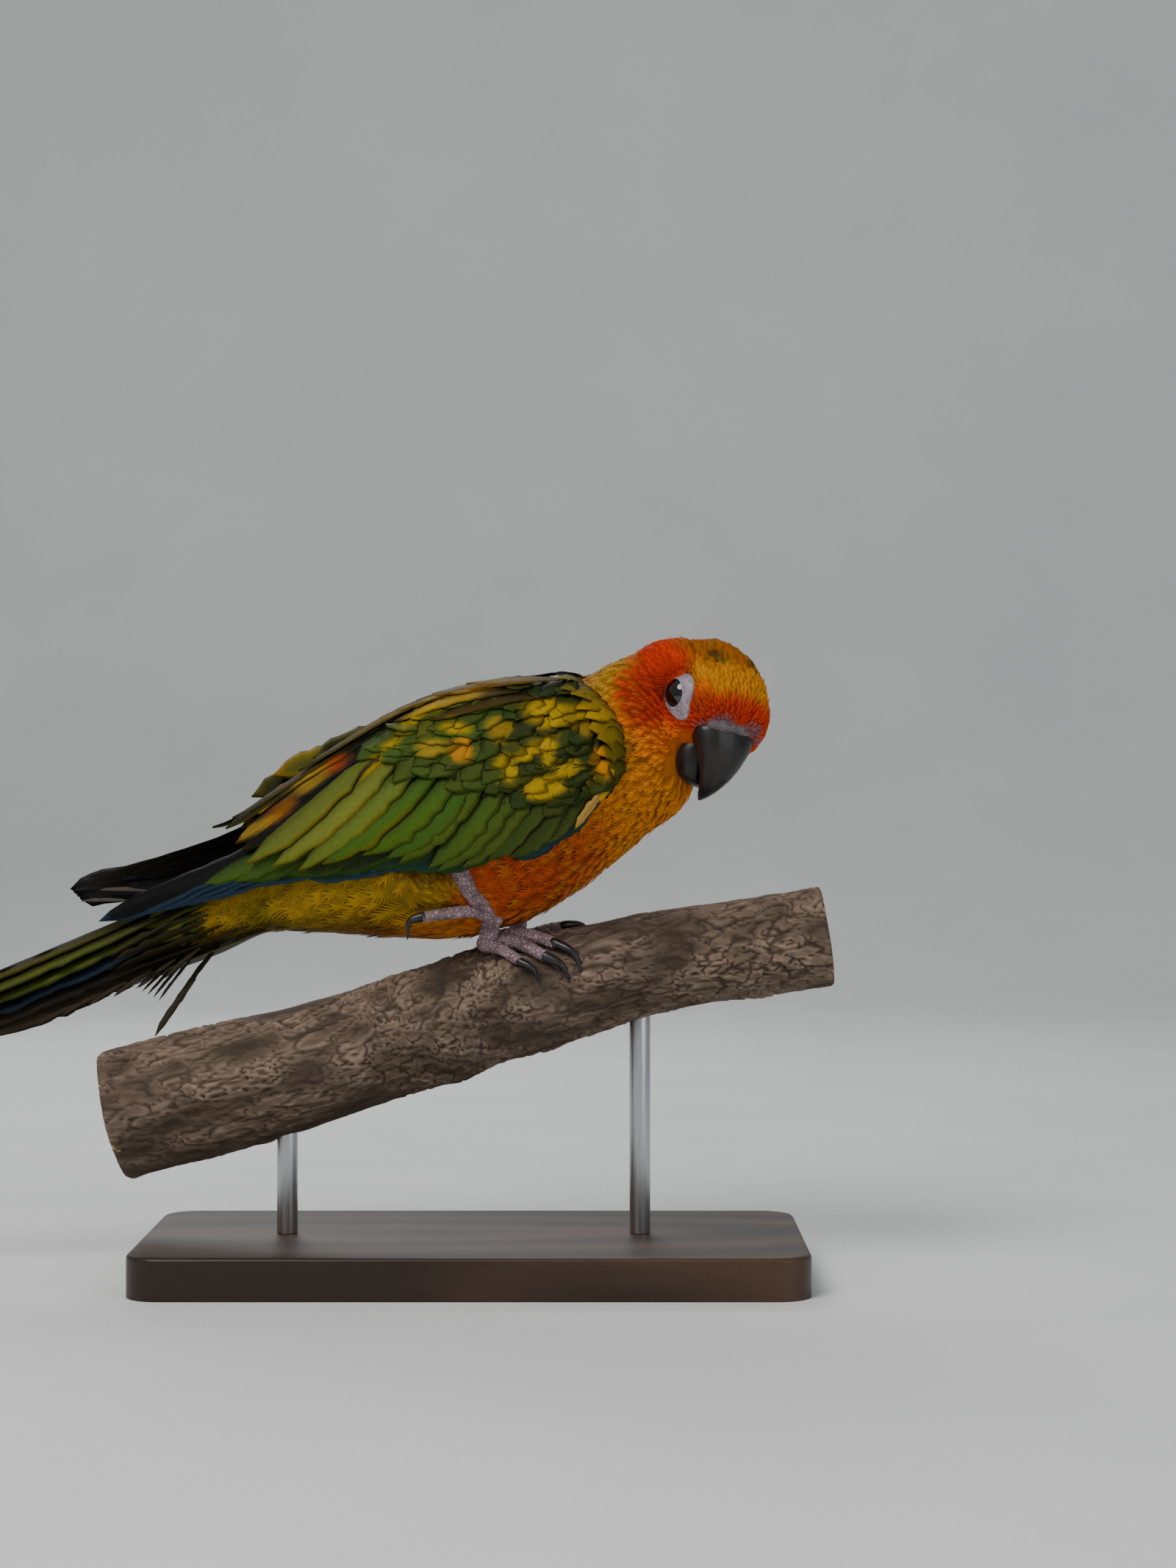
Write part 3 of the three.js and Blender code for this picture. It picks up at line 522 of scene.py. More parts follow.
@dataclass(frozen=True)
class HornFinish(Finish):
    """Dark, worn and partly glossy horn, with lengthwise growth streaks."""

    dark: str
    light: str
    roughness: float
    stretch: Triple

    def dress(self, shader: Shader) -> None:
        """Set up the shader."""
        shader.set(Specular_IOR_Level=0.35, Coat_Weight=0.2, Coat_Roughness=0.25)
        at = shader.stretched(shader.place(), self.stretch)
        streaks = shader.noise(at, 1.0, 5.0, 0.6)
        blotch = shader.noise(shader.place(), 160.0, 3.0)
        colour = shader.ramp(streaks, ((0.3, linear(self.dark)), (0.75, linear(self.light))))
        shader.scaled(colour, shader.math("MULTIPLY_ADD", blotch, 0.8, 0.6))
        rough = shader.math("MULTIPLY_ADD", streaks, 0.35, self.roughness - 0.12)
        shader.link(rough, shader.skin.inputs["Roughness"])
        shader.bump(streaks, 0.4, 0.0003)
        shader.bump(shader.noise(shader.place(), 1500.0, 2.0), 0.2, 0.0001)


@dataclass(frozen=True)
class BareSkinFinish(Finish):
    """Bare skin: fine cells, folds and a soft scatter, for rings, cere and feet, with painted shade
    in the creases between the cells.
    """

    dark: str
    light: str
    cells: float
    relief: float
    roughness: float = 0.55
    scatter: float = 0.15

    def dress(self, shader: Shader) -> None:
        """Set up the shader."""
        shader.set(Roughness=self.roughness, Subsurface_Weight=self.scatter)
        shader.set(Subsurface_Scale=0.001, Specular_IOR_Level=0.4)
        at = shader.place()
        cells = shader.add("ShaderNodeTexVoronoi", feature="DISTANCE_TO_EDGE")
        filled(cells, Scale=self.cells)
        shader.link(at, cells.inputs["Vector"])
        gap = shader.math("MINIMUM", shader.math("MULTIPLY", cells.outputs["Distance"], 5.0), 1.0)
        blotch = shader.noise(at, 260.0, 4.0)
        colour = shader.ramp(blotch, ((0.3, linear(self.dark)), (0.7, linear(self.light))))
        # Darker towards the cells' edges, where the relief sinks: painted shade in the creases.
        shader.scaled(colour, shader.math("MULTIPLY_ADD", gap, 0.45, 0.6))
        shader.bump(gap, self.relief, 0.0003)
        shader.bump(shader.noise(at, 2200.0, 3.0), 0.3, 0.0001)


@dataclass(frozen=True)
class EyeFinish(Finish):
    """Wet eye surface of one dark tone with faint radial flecks."""

    inner: str
    outer: str

    def dress(self, shader: Shader) -> None:
        """Set up the shader."""
        shader.set(Roughness=0.06, Specular_IOR_Level=0.6, Coat_Weight=0.5, Coat_Roughness=0.04)
        flecks = shader.noise(shader.place(), 900.0, 5.0, 0.7)
        stops = ((0.35, linear(self.inner)), (0.7, linear(self.outer)))
        shader.link(shader.ramp(flecks, stops), shader.skin.inputs["Base Color"])


@dataclass(frozen=True)
class BarkFinish(Finish):
    """Dry flaky bark: tints of its flakes and cracks, with fine grain."""

    def dress(self, shader: Shader) -> None:
        """Set up the shader."""
        shader.set(Roughness=0.88, Specular_IOR_Level=0.2)
        at = shader.place()
        tint = shader.add("ShaderNodeAttribute", attribute_name=TINT).outputs["Color"]
        lengthwise = shader.stretched(at, (260.0, 700.0, 700.0), (0, 0.3, 0))
        grain = shader.noise(lengthwise, 1.0, 6.0, 0.7)
        shader.scaled(tint, shader.math("MULTIPLY_ADD", grain, 0.9, 0.52))
        shader.bump(grain, 0.7, 0.0006)
        shader.bump(shader.noise(at, 1800.0, 3.0), 0.3, 0.0002)


@dataclass(frozen=True)
class WoodFinish(Finish):
    """Oiled or freshly cut wood with rings and fine pores."""

    dark: str
    light: str
    rings: float
    roughness: float
    ring_axis: str = "X"
    distortion: float = 5.0
    middle: Triple = (0.0, 0.0, 0.0)

    def dress(self, shader: Shader) -> None:
        """Set up the shader."""
        shader.set(Roughness=self.roughness, Specular_IOR_Level=0.4)
        wave = shader.add("ShaderNodeTexWave", wave_type="RINGS", rings_direction=self.ring_axis)
        filled(wave, Scale=self.rings, Distortion=self.distortion, Detail=3.0, Detail_Scale=1.5)
        from_middle = shader.add("ShaderNodeVectorMath", operation="SUBTRACT")
        shader.link(shader.place(), from_middle.inputs[0])
        from_middle.inputs[1].default_value = tuple(value * MM for value in self.middle)
        lengthwise = shader.stretched(from_middle.outputs[0], (0.25, 1.0, 1.0))
        shader.link(lengthwise, wave.inputs["Vector"])
        pores = shader.noise(shader.stretched(shader.place(), (60.0, 1400.0, 1400.0)), 1.0, 3.0)
        stops = ((0.1, linear(self.dark)), (0.9, linear(self.light)))
        value = shader.math("MULTIPLY_ADD", pores, 0.4, 0.78)
        shader.scaled(shader.ramp(wave.outputs["Fac"], stops), value)
        shader.bump(pores, 0.25, 0.0002)


@dataclass(frozen=True)
class MetalFinish(Finish):
    """Drawn steel rod with fine lines along it."""

    def dress(self, shader: Shader) -> None:
        """Set up the shader."""
        shader.set(Metallic=1.0, Base_Color=(0.52, 0.53, 0.55, 1.0))
        lines = shader.noise(shader.stretched(shader.place(), (3000.0, 3000.0, 40.0)), 1.0, 2.0)
        rough = shader.math("MULTIPLY_ADD", lines, 0.25, 0.22)
        shader.link(rough, shader.skin.inputs["Roughness"])
        colour = shader.ramp(lines, ((0.2, (0.42, 0.43, 0.45)), (0.8, (0.6, 0.61, 0.62))))
        shader.link(colour, shader.skin.inputs["Base Color"])
        shader.bump(lines, 0.1, 0.0001)


@dataclass(frozen=True)
class Head:
    """Skull form, its turn on the neck and the places on it, in its own frame."""

    centre: Triple = (87, -4, 166.4)
    yaw: float = 70
    pitch: float = 35
    roll: float = -16
    semi: Triple = (20, 15.4, 15.4)
    swellings: tuple[Five, ...] = (
        (0.1, 0.85, -0.5, 2.6, 34),
        (0.62, 0.6, -0.5, 1.6, 22),
        (0.34, 0.9, 0.25, -0.8, 20),
        (0.72, 0.5, 0.2, 1.4, 22),
        (-0.7, 0.3, 0.62, 0.6, 34),
    )
    brow: Five = (0.75, 0.0, 0.65, 0.6, 34)
    bill_base: Triple = (16.0, 0.0, -3.0)
    border_at: Triple = (71.0, -2.0, 159.0)
    border_facing: Triple = (0.92, -0.14, 0.36)

    @property
    def matrix(self) -> Array:
        """Turn and place of the head, as a 4 by 4 array in millimetres."""
        turn = Matrix.Rotation(math.radians(-self.yaw), 4, "Z")
        turn = turn @ Matrix.Rotation(math.radians(self.pitch), 4, "Y")
        turn = turn @ Matrix.Rotation(math.radians(self.roll), 4, "X")
        return np.array(Matrix.Translation(self.centre) @ turn)

    def outward(self, local: Array) -> Array:
        """Move places from the head's frame to the model's."""
        matrix = self.matrix
        return local @ matrix[:3, :3].T + matrix[:3, 3]

    def inward(self, places: Array) -> Array:
        """Move places from the model's frame to the head's."""
        matrix = self.matrix
        return (places - matrix[:3, 3]) @ matrix[:3, :3]

    def turned(self, local: Array) -> Array:
        """Turn directions from the head's frame to the model's."""
        return local @ self.matrix[:3, :3].T

    def radius(self, direction: Array) -> Array:
        """Distance of the surface from the centre along unit directions."""
        out = 1 / norm(direction / np.array(self.semi))
        rows = [self.brow]
        for x, y, z, rise, spread in self.swellings:
            rows += [(x, y, z, rise, spread), (x, -y, z, rise, spread)]
        for x, y, z, rise, spread in rows:
            toward = unit(np.array([x, y, z]))
            angle = np.arccos(np.clip(direction @ toward, -1, 1))
            out = out + rise * np.exp(-((angle / math.radians(spread)) ** 2))
        return out


HEAD = Head()


PATCH_BORDER = (0.55, 1.3)
BLOT_BORDER = (0.6, 1.25)


@dataclass(frozen=True)
class Patch:
    """A soft patch of colour on the head, by direction and spread in degrees."""

    x: float
    y: float
    z: float
    spread: float
    tone: Tone
    strength: float = 1.0

    def share(self, direction: Array) -> Array:
        """Weight of the patch along unit directions, alike on both sides."""
        even = direction.copy()
        even[:, 1] = np.abs(even[:, 1])
        angle = np.arccos(np.clip(even @ unit(np.array([self.x, self.y, self.z])), -1, 1))
        far = np.degrees(angle) / self.spread
        return self.strength * (1 - smooth(far, *PATCH_BORDER))


@dataclass(frozen=True)
class Blot:
    """A soft patch of colour on the body, by its place and reach from the side."""

    x: float
    z: float
    long: float
    tall: float
    turn: float
    tone: Tone
    strength: float = 1.0

    def share(self, places: Array) -> Array:
        """Weight of the patch at places in the model's frame."""
        c, s = math.cos(math.radians(self.turn)), math.sin(math.radians(self.turn))
        dx, dz = places[:, 0] - self.x, places[:, 2] - self.z
        far = np.hypot((dx * c + dz * s) / self.long, (dz * c - dx * s) / self.tall)
        return self.strength * (1 - smooth(far, *BLOT_BORDER))


@dataclass(frozen=True)
class Markings:
    """Colours of the plumage all over the bird, the same for skin and coat."""

    head_patches: tuple[Patch, ...] = (
        Patch(-0.9, 0.1, 0.4, 44, Tone.MUSTARD, 0.8),
        Patch(-0.3, 0.1, 1.0, 50, Tone.CROWN, 0.9),
        Patch(-0.5, 0.85, 0.25, 40, Tone.FLAME, 0.85),
        Patch(-0.1, 0.9, -0.3, 44, Tone.FLAME, 1.0),
        Patch(0.25, 0.95, 0.0, 34, Tone.FLAME, 1.0),
        Patch(-0.35, 0.9, -0.15, 30, Tone.DEEP_RED, 0.8),
        Patch(-0.1, 0.95, 0.35, 20, Tone.FLAME, 0.75),
        Patch(0.5, 0.6, -0.7, 20, Tone.GLOW, 0.8),
        Patch(0.3, 0.5, -0.85, 28, Tone.GLOW, 0.8),
        Patch(0.2, 0.0, -1.0, 44, Tone.BREAST, 0.8),
        Patch(0.7, 0.3, 0.65, 32, Tone.AMBER, 1.0),
        Patch(0.33, 0.62, 0.7, 25, Tone.AMBER, 0.95),
        Patch(-0.35, 0.5, 0.8, 24, Tone.CROWN, 0.9),
        Patch(0.1, 0.5, 0.85, 15, Tone.CROWN, 0.6),
        Patch(-0.02, 0.45, 0.89, 9, Tone.DARK_OLIVE, 0.75),
        Patch(0.2, 0.3, 0.93, 8, Tone.OLIVE, 0.8),
        Patch(0.6, 0.62, 0.36, 13, Tone.ORANGE, 0.8),
        Patch(0.8, 0.58, 0.05, 22, Tone.FLAME, 0.95),
        Patch(0.78, 0.57, 0.26, 12, Tone.RUST, 0.8),
        Patch(0.95, 0.25, 0.25, 20, Tone.FLAME, 0.9),
        Patch(1.0, 0.0, 0.3, 22, Tone.FLAME, 0.8),
        Patch(0.96, 0.24, 0.08, 12, Tone.CERE, 0.8),
        Patch(0.86, 0.48, -0.08, 7, Tone.CERE, 0.7),
    )
    body_blots: tuple[Blot, ...] = (
        Blot(72, 150, 13, 20, 20, Tone.GLOW, 0.8),
        Blot(64, 150, 22, 30, 20, Tone.BREAST),
        Blot(62, 158, 6, 16, -10, Tone.OLIVE, 0.4),
        Blot(30, 116, 24, 13, 22, Tone.RUST, 1.0),
        Blot(44, 126, 16, 12, 24, Tone.RUST, 0.7),
        Blot(-6, 112, 20, 12, 8, Tone.MUSTARD, 0.9),
        Blot(6, 118, 9, 5, 10, Tone.BROWN, 0.55),
        Blot(-2, 100, 16, 4, 4, Tone.RUST, 0.5),
        Blot(-16, 101, 14, 4, 4, Tone.BROWN, 0.6),
        Blot(-36, 104, 14, 8, 16, Tone.OLIVE, 0.75),
        Blot(-28, 109, 10, 4, 10, Tone.STRAW, 0.7),
        Blot(-44, 98, 10, 4, 20, Tone.BROWN, 0.8),
    )
    cheek_blots: tuple[Blot, ...] = (
        Blot(70, 160, 9, 13, 20, Tone.GLOW, 0.7),
        Blot(67.8, 168, 9, 11, 0, Tone.FLAME, 0.95),
        Blot(66, 166, 5, 7, 0, Tone.DEEP_RED, 0.6),
    )

    def head(self, places: Array) -> Array:
        """Colours of the head's plumage at places in the model's frame."""
        direction = unit(HEAD.inward(places))
        layers = ((patch.tone, patch.share(direction)) for patch in self.head_patches)
        return layered(Tone.ORANGE.rgb, layers)

    def body(self, places: Array, normals: Array) -> Array:
        """Colours of the body's plumage at places in the model's frame."""
        back = smooth(normals[:, 2], 0.15, 0.6) * smooth(-places[:, 0], -58, -44)
        nape = smooth(normals[:, 2], 0.1, 0.7) * smooth(places[:, 0], 46, 58)
        aside = smooth(np.abs(places[:, 1]), 6, 12)
        layers = [
            (Tone.MUSTARD, smooth(-places[:, 0], -24, 4)),
            *((blot.tone, blot.share(places)) for blot in self.body_blots),
            (Tone.MANTLE, back),
            (Tone.STRAW, nape * 0.9),
            *((blot.tone, blot.share(places) * aside) for blot in self.cheek_blots),
        ]
        return layered(Tone.BREAST.rgb, layers)

    def wing(self, places: Array) -> Array:
        """Colours of the small coverts at places in the model's frame."""
        layers = [
            (Tone.DEEP_GREEN, 0.7),
            (Tone.GREEN, smooth(-places[:, 0], -40, -14) * 0.5),
            (Tone.TEAL, smooth(places[:, 0] * 0.55 - places[:, 2], -116.5, -110)),
            *((blot.tone, blot.share(places)) for blot in WING_BLOTS),
        ]
        return layered(Tone.DARK_OLIVE.rgb, layers)

    def at(self, places: Array, normals: Array) -> Array:
        """Colours of the whole plumage at places in the model's frame, with painted shade under the
        wings.
        """
        colour = mixed(self.body(places, normals), self.head(places), head_share(places))
        # Places under the wing's long feathers get a darkened olive: painted shade.
        colour = np.where(under_wing(places)[:, None], Tone.DARK_OLIVE.rgb * 0.7, colour)
        return np.where(wing_zone(places)[:, None], self.wing(places), colour)


def head_share(places: Array) -> Array:
    """Say how far places belong to the head and not to the neck, from 0 to 1."""
    return smooth((places - HEAD.border_at) @ unit(np.array(HEAD.border_facing)), -5, 6)


def within(edge: Sequence[Sequence[float]], places: Array) -> Array:
    """Say which places lie inside a closed line of the side view."""
    x, z = places[:, 0], places[:, 2]
    inside = np.zeros(len(places), bool)
    for (x0, z0), (x1, z1) in zip(edge, [*edge[1:], edge[0]]):
        crossing = (z0 > z) != (z1 > z)
        inside ^= crossing & (x < (x1 - x0) * (z - z0) / (z1 - z0 + 1e-12) + x0)
    return inside


def wing_zone(places: Array) -> Array:
    """Say which places on the skin carry the soft small coverts of the wing."""
    return within(SOFT_COVERTS, places) & (np.abs(places[:, 1]) > FLANK)


def under_wing(places: Array) -> Array:
    """Say which places on the skin lie well under the wing's long feathers."""
    return within(WING_COVERED, places) & (np.abs(places[:, 1]) > FLANK)


FLANK = 9
WING_COVERED = (
    (52, 143), (46, 137), (40, 133.5), (26, 127), (6, 124), (-20, 119), (-42, 117), (-48, 124),
    (-34, 139), (-12, 152), (10, 159), (30, 162), (46, 158),
)
SOFT_COVERTS = (
    (27, 167), (40, 168.5), (50, 166), (56, 158), (57, 147), (54, 140), (45.7, 137.4), (30, 140.5),
    (18, 145.5), (8, 151), (3, 156), (10, 163),
)
WING_BLOTS = (
    Blot(39.2, 162.2, 6.6, 3.8, 4, Tone.LEMON),
    Blot(49.4, 160, 6.2, 3.4, -38, Tone.MUSTARD, 0.9),
    Blot(50.6, 161.5, 3.6, 2, -38, Tone.LEMON, 0.7),
    Blot(55, 148.5, 1.9, 5, 0, Tone.AMBER, 0.9),
    Blot(28, 146.5, 2.4, 4.8, 8, Tone.LEMON, 0.9),
    Blot(36.3, 152.6, 7, 2.3, 26, Tone.LEMON),
    Blot(40.4, 150.4, 2.2, 4.0, -20, Tone.LEMON, 0.9),
    Blot(38.6, 141.2, 5.8, 3.2, 15, Tone.LEMON),
    Blot(45.4, 146.4, 5, 1.9, 35, Tone.LEMON, 0.95),
    Blot(27, 157, 4, 3, 20, Tone.MUSTARD, 0.8),
    Blot(25, 160.5, 3, 1.6, 30, Tone.STRAW, 0.7),
    Blot(15.6, 151.4, 3.4, 3.2, 20, Tone.AMBER, 0.9),
    Blot(7.0, 152.6, 4.2, 1.7, 10, Tone.STRAW, 0.8),
    Blot(14, 158.2, 3.4, 2.2, -8, Tone.LEMON, 0.95),
    Blot(12.7, 165.6, 9, 2.0, 18, Tone.MUSTARD, 0.95),
    Blot(2.7, 161.6, 7, 1.4, 34, Tone.LEMON, 0.9),
    Blot(-7.5, 149.8, 8.6, 1.7, 44, Tone.LEMON, 0.95),
    Blot(-21, 147.2, 4, 2.0, 35, Tone.RUST, 0.8),
    Blot(-28, 142.6, 6.5, 2.2, 38, Tone.STRAW, 0.85),
    Blot(-37, 134, 6, 2.0, 40, Tone.CROWN, 0.75),
    Blot(-44, 129, 7, 1.5, 30, Tone.STRAW, 0.8),
)
MARKINGS = Markings()


def unwrap(places: Array) -> Array:
    """Lay places on the skin out flat, along the bird and around it, both from 0 to 1."""
    axis = unit(np.array([0.93, 0.0, 0.36]))
    from_tail = places - np.array([-60.0, 0.0, 104.0])
    along = from_tail @ axis
    side = places[:, 1]
    rise = from_tail @ np.array([-0.36, 0.0, 0.93])
    around = np.arctan2(side, rise - 6) / (2 * math.pi) + 0.5
    return np.stack([0.02 + 0.96 * np.clip(along / 200, 0, 1), 0.01 + 0.58 * around], -1)


def paint(data: bpy.types.Mesh, tint: Array) -> None:
    """Give a mesh's vertices their linear colours."""
    colours = np.hstack([tint, np.ones((len(tint), 1))])
    layer = data.color_attributes.new(TINT, "FLOAT_COLOR", "POINT")
    layer.data.foreach_set("color", colours.astype(np.float32).ravel())


def mesh_piece(
    name: str,
    points: Array,
    triangles: Array,
    tint: Array,
    bake: Array,
    vane: Array | None = None,
    shade_smooth: bool = False,
) -> Object:
    """Make one joined mesh of many feathers.

    Args:
        name: Name of the piece.
        points: Vertices in millimetres.
        triangles: Vertex numbers, three a row.
        tint: Linear colour of each vertex.
        bake: Place of each vertex on the bake map.
        vane: Millimetres across and along the feather of each vertex.
        shade_smooth: Whether faces are shaded smooth.

    Returns:
        The linked object.
    """
    data = bpy.data.meshes.new(name)
    count = len(triangles)
    data.vertices.add(len(points))
    data.vertices.foreach_set("co", (points * MM).astype(np.float32).ravel())
    data.loops.add(count * 3)
    data.loops.foreach_set("vertex_index", triangles.astype(np.int32).ravel())
    data.polygons.add(count)
    data.polygons.foreach_set("loop_start", np.arange(count, dtype=np.int32) * 3)
    data.polygons.foreach_set("use_smooth", np.full(count, shade_smooth))
    data.update(calc_edges=True)
    paint(data, np.clip(tint, 0, 1))
    maps = {BAKE_MAP: bake} if vane is None else {BAKE_MAP: bake, VANE_MAP: vane / ALONG_SCALE}
    for label, flat in maps.items():
        layer = data.uv_layers.new(name=label)
        layer.data.foreach_set("uv", flat[triangles.ravel()].astype(np.float32).ravel())
    return linked(name, data)


LEFT_BARB = ((0, 1, 3), (1, 2, 3), (2, 0, 3), (0, 2, 1))
RIGHT_BARB = ((1, 0, 3), (0, 2, 3), (2, 1, 3), (0, 1, 2))


@dataclass(frozen=True)
class Tuft:
    """Shape of a body feather: barbs that spring from both sides of a shaft."""

    barbs: int
    fan: float = 0.42
    thick: float = 0.14
    barb_width: float = 1.5
    droop: float = 0.25

    def template(self) -> tuple[Array, Array]:
        """Work out the barbs of one feather.

        Returns:
            Rows of across, along and up for each vertex, and the triangles.
        """
        rows: list[Triple] = []
        triangles: list[tuple[int, int, int]] = []
        step = 0.72 / self.barbs
        spikes = [(0.0, 0.62, 1.0, 1.0)]
        for k in range(self.barbs):
            start = 0.02 + step * k
            end = min(start + self.fan, 0.97 - 0.02 * (self.barbs - k))
            reach = 0.5 * math.sin(math.pi * min(0.16 + 0.74 * end, 1.0)) ** 0.7
            for side in (-1.0, 1.0):
                spikes.append((side * reach, start, end, side))
        for across, start, end, side in spikes:
            half = step * self.barb_width / 2
            low = -self.droop * (2 * across) ** 2
            base = len(rows)
            if across == 0.0:
                rows += [(-0.11, start, 0), (0.11, start, 0), (0, start, -1), (0, end, 0)]
                triangles += [(base, base + 1, base + 3), (base + 1, base + 2, base + 3)]
                triangles += [(base + 2, base, base + 3), (base, base + 2, base + 1)]
                continue
            rows += [(0, start - half, 0), (0, start + half, 0), (0, start, -1), (across, end, low)]
            for face in LEFT_BARB if side < 0 else RIGHT_BARB:
                triangles.append(tuple(base + i for i in face))
        return np.array(rows), np.array(triangles)


@dataclass
class Skin:
    """The bird's flesh as one surface, inside the plumage by its depth."""

    body_depth: float = 2.0
    head_depth: float = 1.2
    thigh_depth: float = 1.4
    voxel: float = 1.05
    # Brightness of the skin's colours: painted shade under the coat.
    shade: float = 0.62
    nape: Triple = (77, -3.5, 173.2)
    nape_size: Triple = (14, 11, 10)
    piece: Object = field(init=False)
    tree: BVHTree = field(init=False)

    def build(self, wings: Sequence["Wing"], legs: Sequence["Leg"]) -> None:
        """Join the forms of the flesh, melt them together and colour them.

        Args:
            wings: The wings, whose cores are part of the flesh.
            legs: The legs, whose thighs are part of the flesh.
        """
        mesh = bmesh.new()
        from_rings(mesh, BODY.rings(52, 56, -self.body_depth, 0.94))
        from_rings(mesh, TAIL_CORE.rings(14, 24, -1.2, 0.9))
        add_ball(mesh, 40, 24, lambda co: np.array(self.nape) + co * np.array(self.nape_size))
        add_ball(mesh, 64, 40, self.skull)
        for leg in legs:
            from_rings(mesh, leg.thigh_rings(-self.thigh_depth))
        for wing in wings:
            wing.add_core(mesh)
        raw = finish_mesh(mesh, "flesh")
        remesh = raw.modifiers.new("Remesh", "REMESH")
        remesh.mode = "VOXEL"
        remesh.voxel_size = self.voxel * MM
        soften = raw.modifiers.new("Smooth", "SMOOTH")
        soften.factor = 0.5
        soften.iterations = 6
        self.piece = applied(raw)
        for face in self.piece.data.polygons:
            face.use_smooth = True
        self.piece.name = "skin"
        self.colour()
        places, faces = self.arrays()
        self.tree = BVHTree.FromPolygons(places.tolist(), faces.tolist())

    def skull(self, co: Array) -> Array:
        """Move a place on a unit sphere to the head's skin."""
        direction = unit(co)
        return HEAD.outward(direction * (HEAD.radius(direction) - self.head_depth))

    def arrays(self) -> tuple[Array, Array]:
        """Give the skin's vertices in millimetres and its triangles."""
        data = self.piece.data
        data.calc_loop_triangles()
        places = np.zeros(len(data.vertices) * 3)
        data.vertices.foreach_get("co", places)
        faces = np.zeros(len(data.loop_triangles) * 3, dtype=np.int32)
        data.loop_triangles.foreach_get("vertices", faces)
        return places.reshape(-1, 3) / MM, faces.reshape(-1, 3)

    def colour(self) -> None:
        """Give the skin the plumage's colours, darkened by the shade factor as painted shade under
        the coat.
        """
        data = self.piece.data
        places, _ = self.arrays()
        normals = np.zeros(len(data.vertices) * 3)
        data.vertices.foreach_get("normal", normals)
        paint(data, MARKINGS.at(places, normals.reshape(-1, 3)) * self.shade)

    def snap(self, places: Array) -> tuple[Array, Array]:
        """Find the skin's nearest places and its normals there."""
        found = [self.tree.find_nearest(Vector(place)) for place in places]
        near = np.array([row[0] for row in found])
        return near, np.array([row[1] for row in found])


def lie_of_coat(places: Array, normals: Array, legs: Sequence["Leg"]) -> Array:
    """Work out which way the feathers point at places on the skin.

    Args:
        places: Places on the skin.
        normals: The skin's normals there.
        legs: The legs, along whose thighs the feathers run down.

    Returns:
        Unit directions along the skin.
    """
    body = np.tile(unit(np.array([-0.92, 0.0, -0.4])), (len(places), 1))
    body[:, 1] += 0.12 * np.sign(places[:, 1]) * smooth(np.abs(places[:, 1]), 2, 14)
    base = HEAD.outward(np.array([HEAD.bill_base]))[0]
    radial = unit(places - base)
    back = HEAD.turned(np.array([[-1.0, 0.0, 0.05]]))[0]
    head = unit(radial + 0.5 * back)
    share = head_share(places)[:, None]
    flow = head * share + body * (1 - share)
    for leg in legs:
        flow = mixed(flow, leg.thigh_axis(), leg.thigh_share(places) * 0.8)
    flow[wing_zone(places)] = unit(np.array([-0.78, 0.0, -0.62]))
    flat = flow - normals * np.sum(flow * normals, -1, keepdims=True)
    return unit(flat)


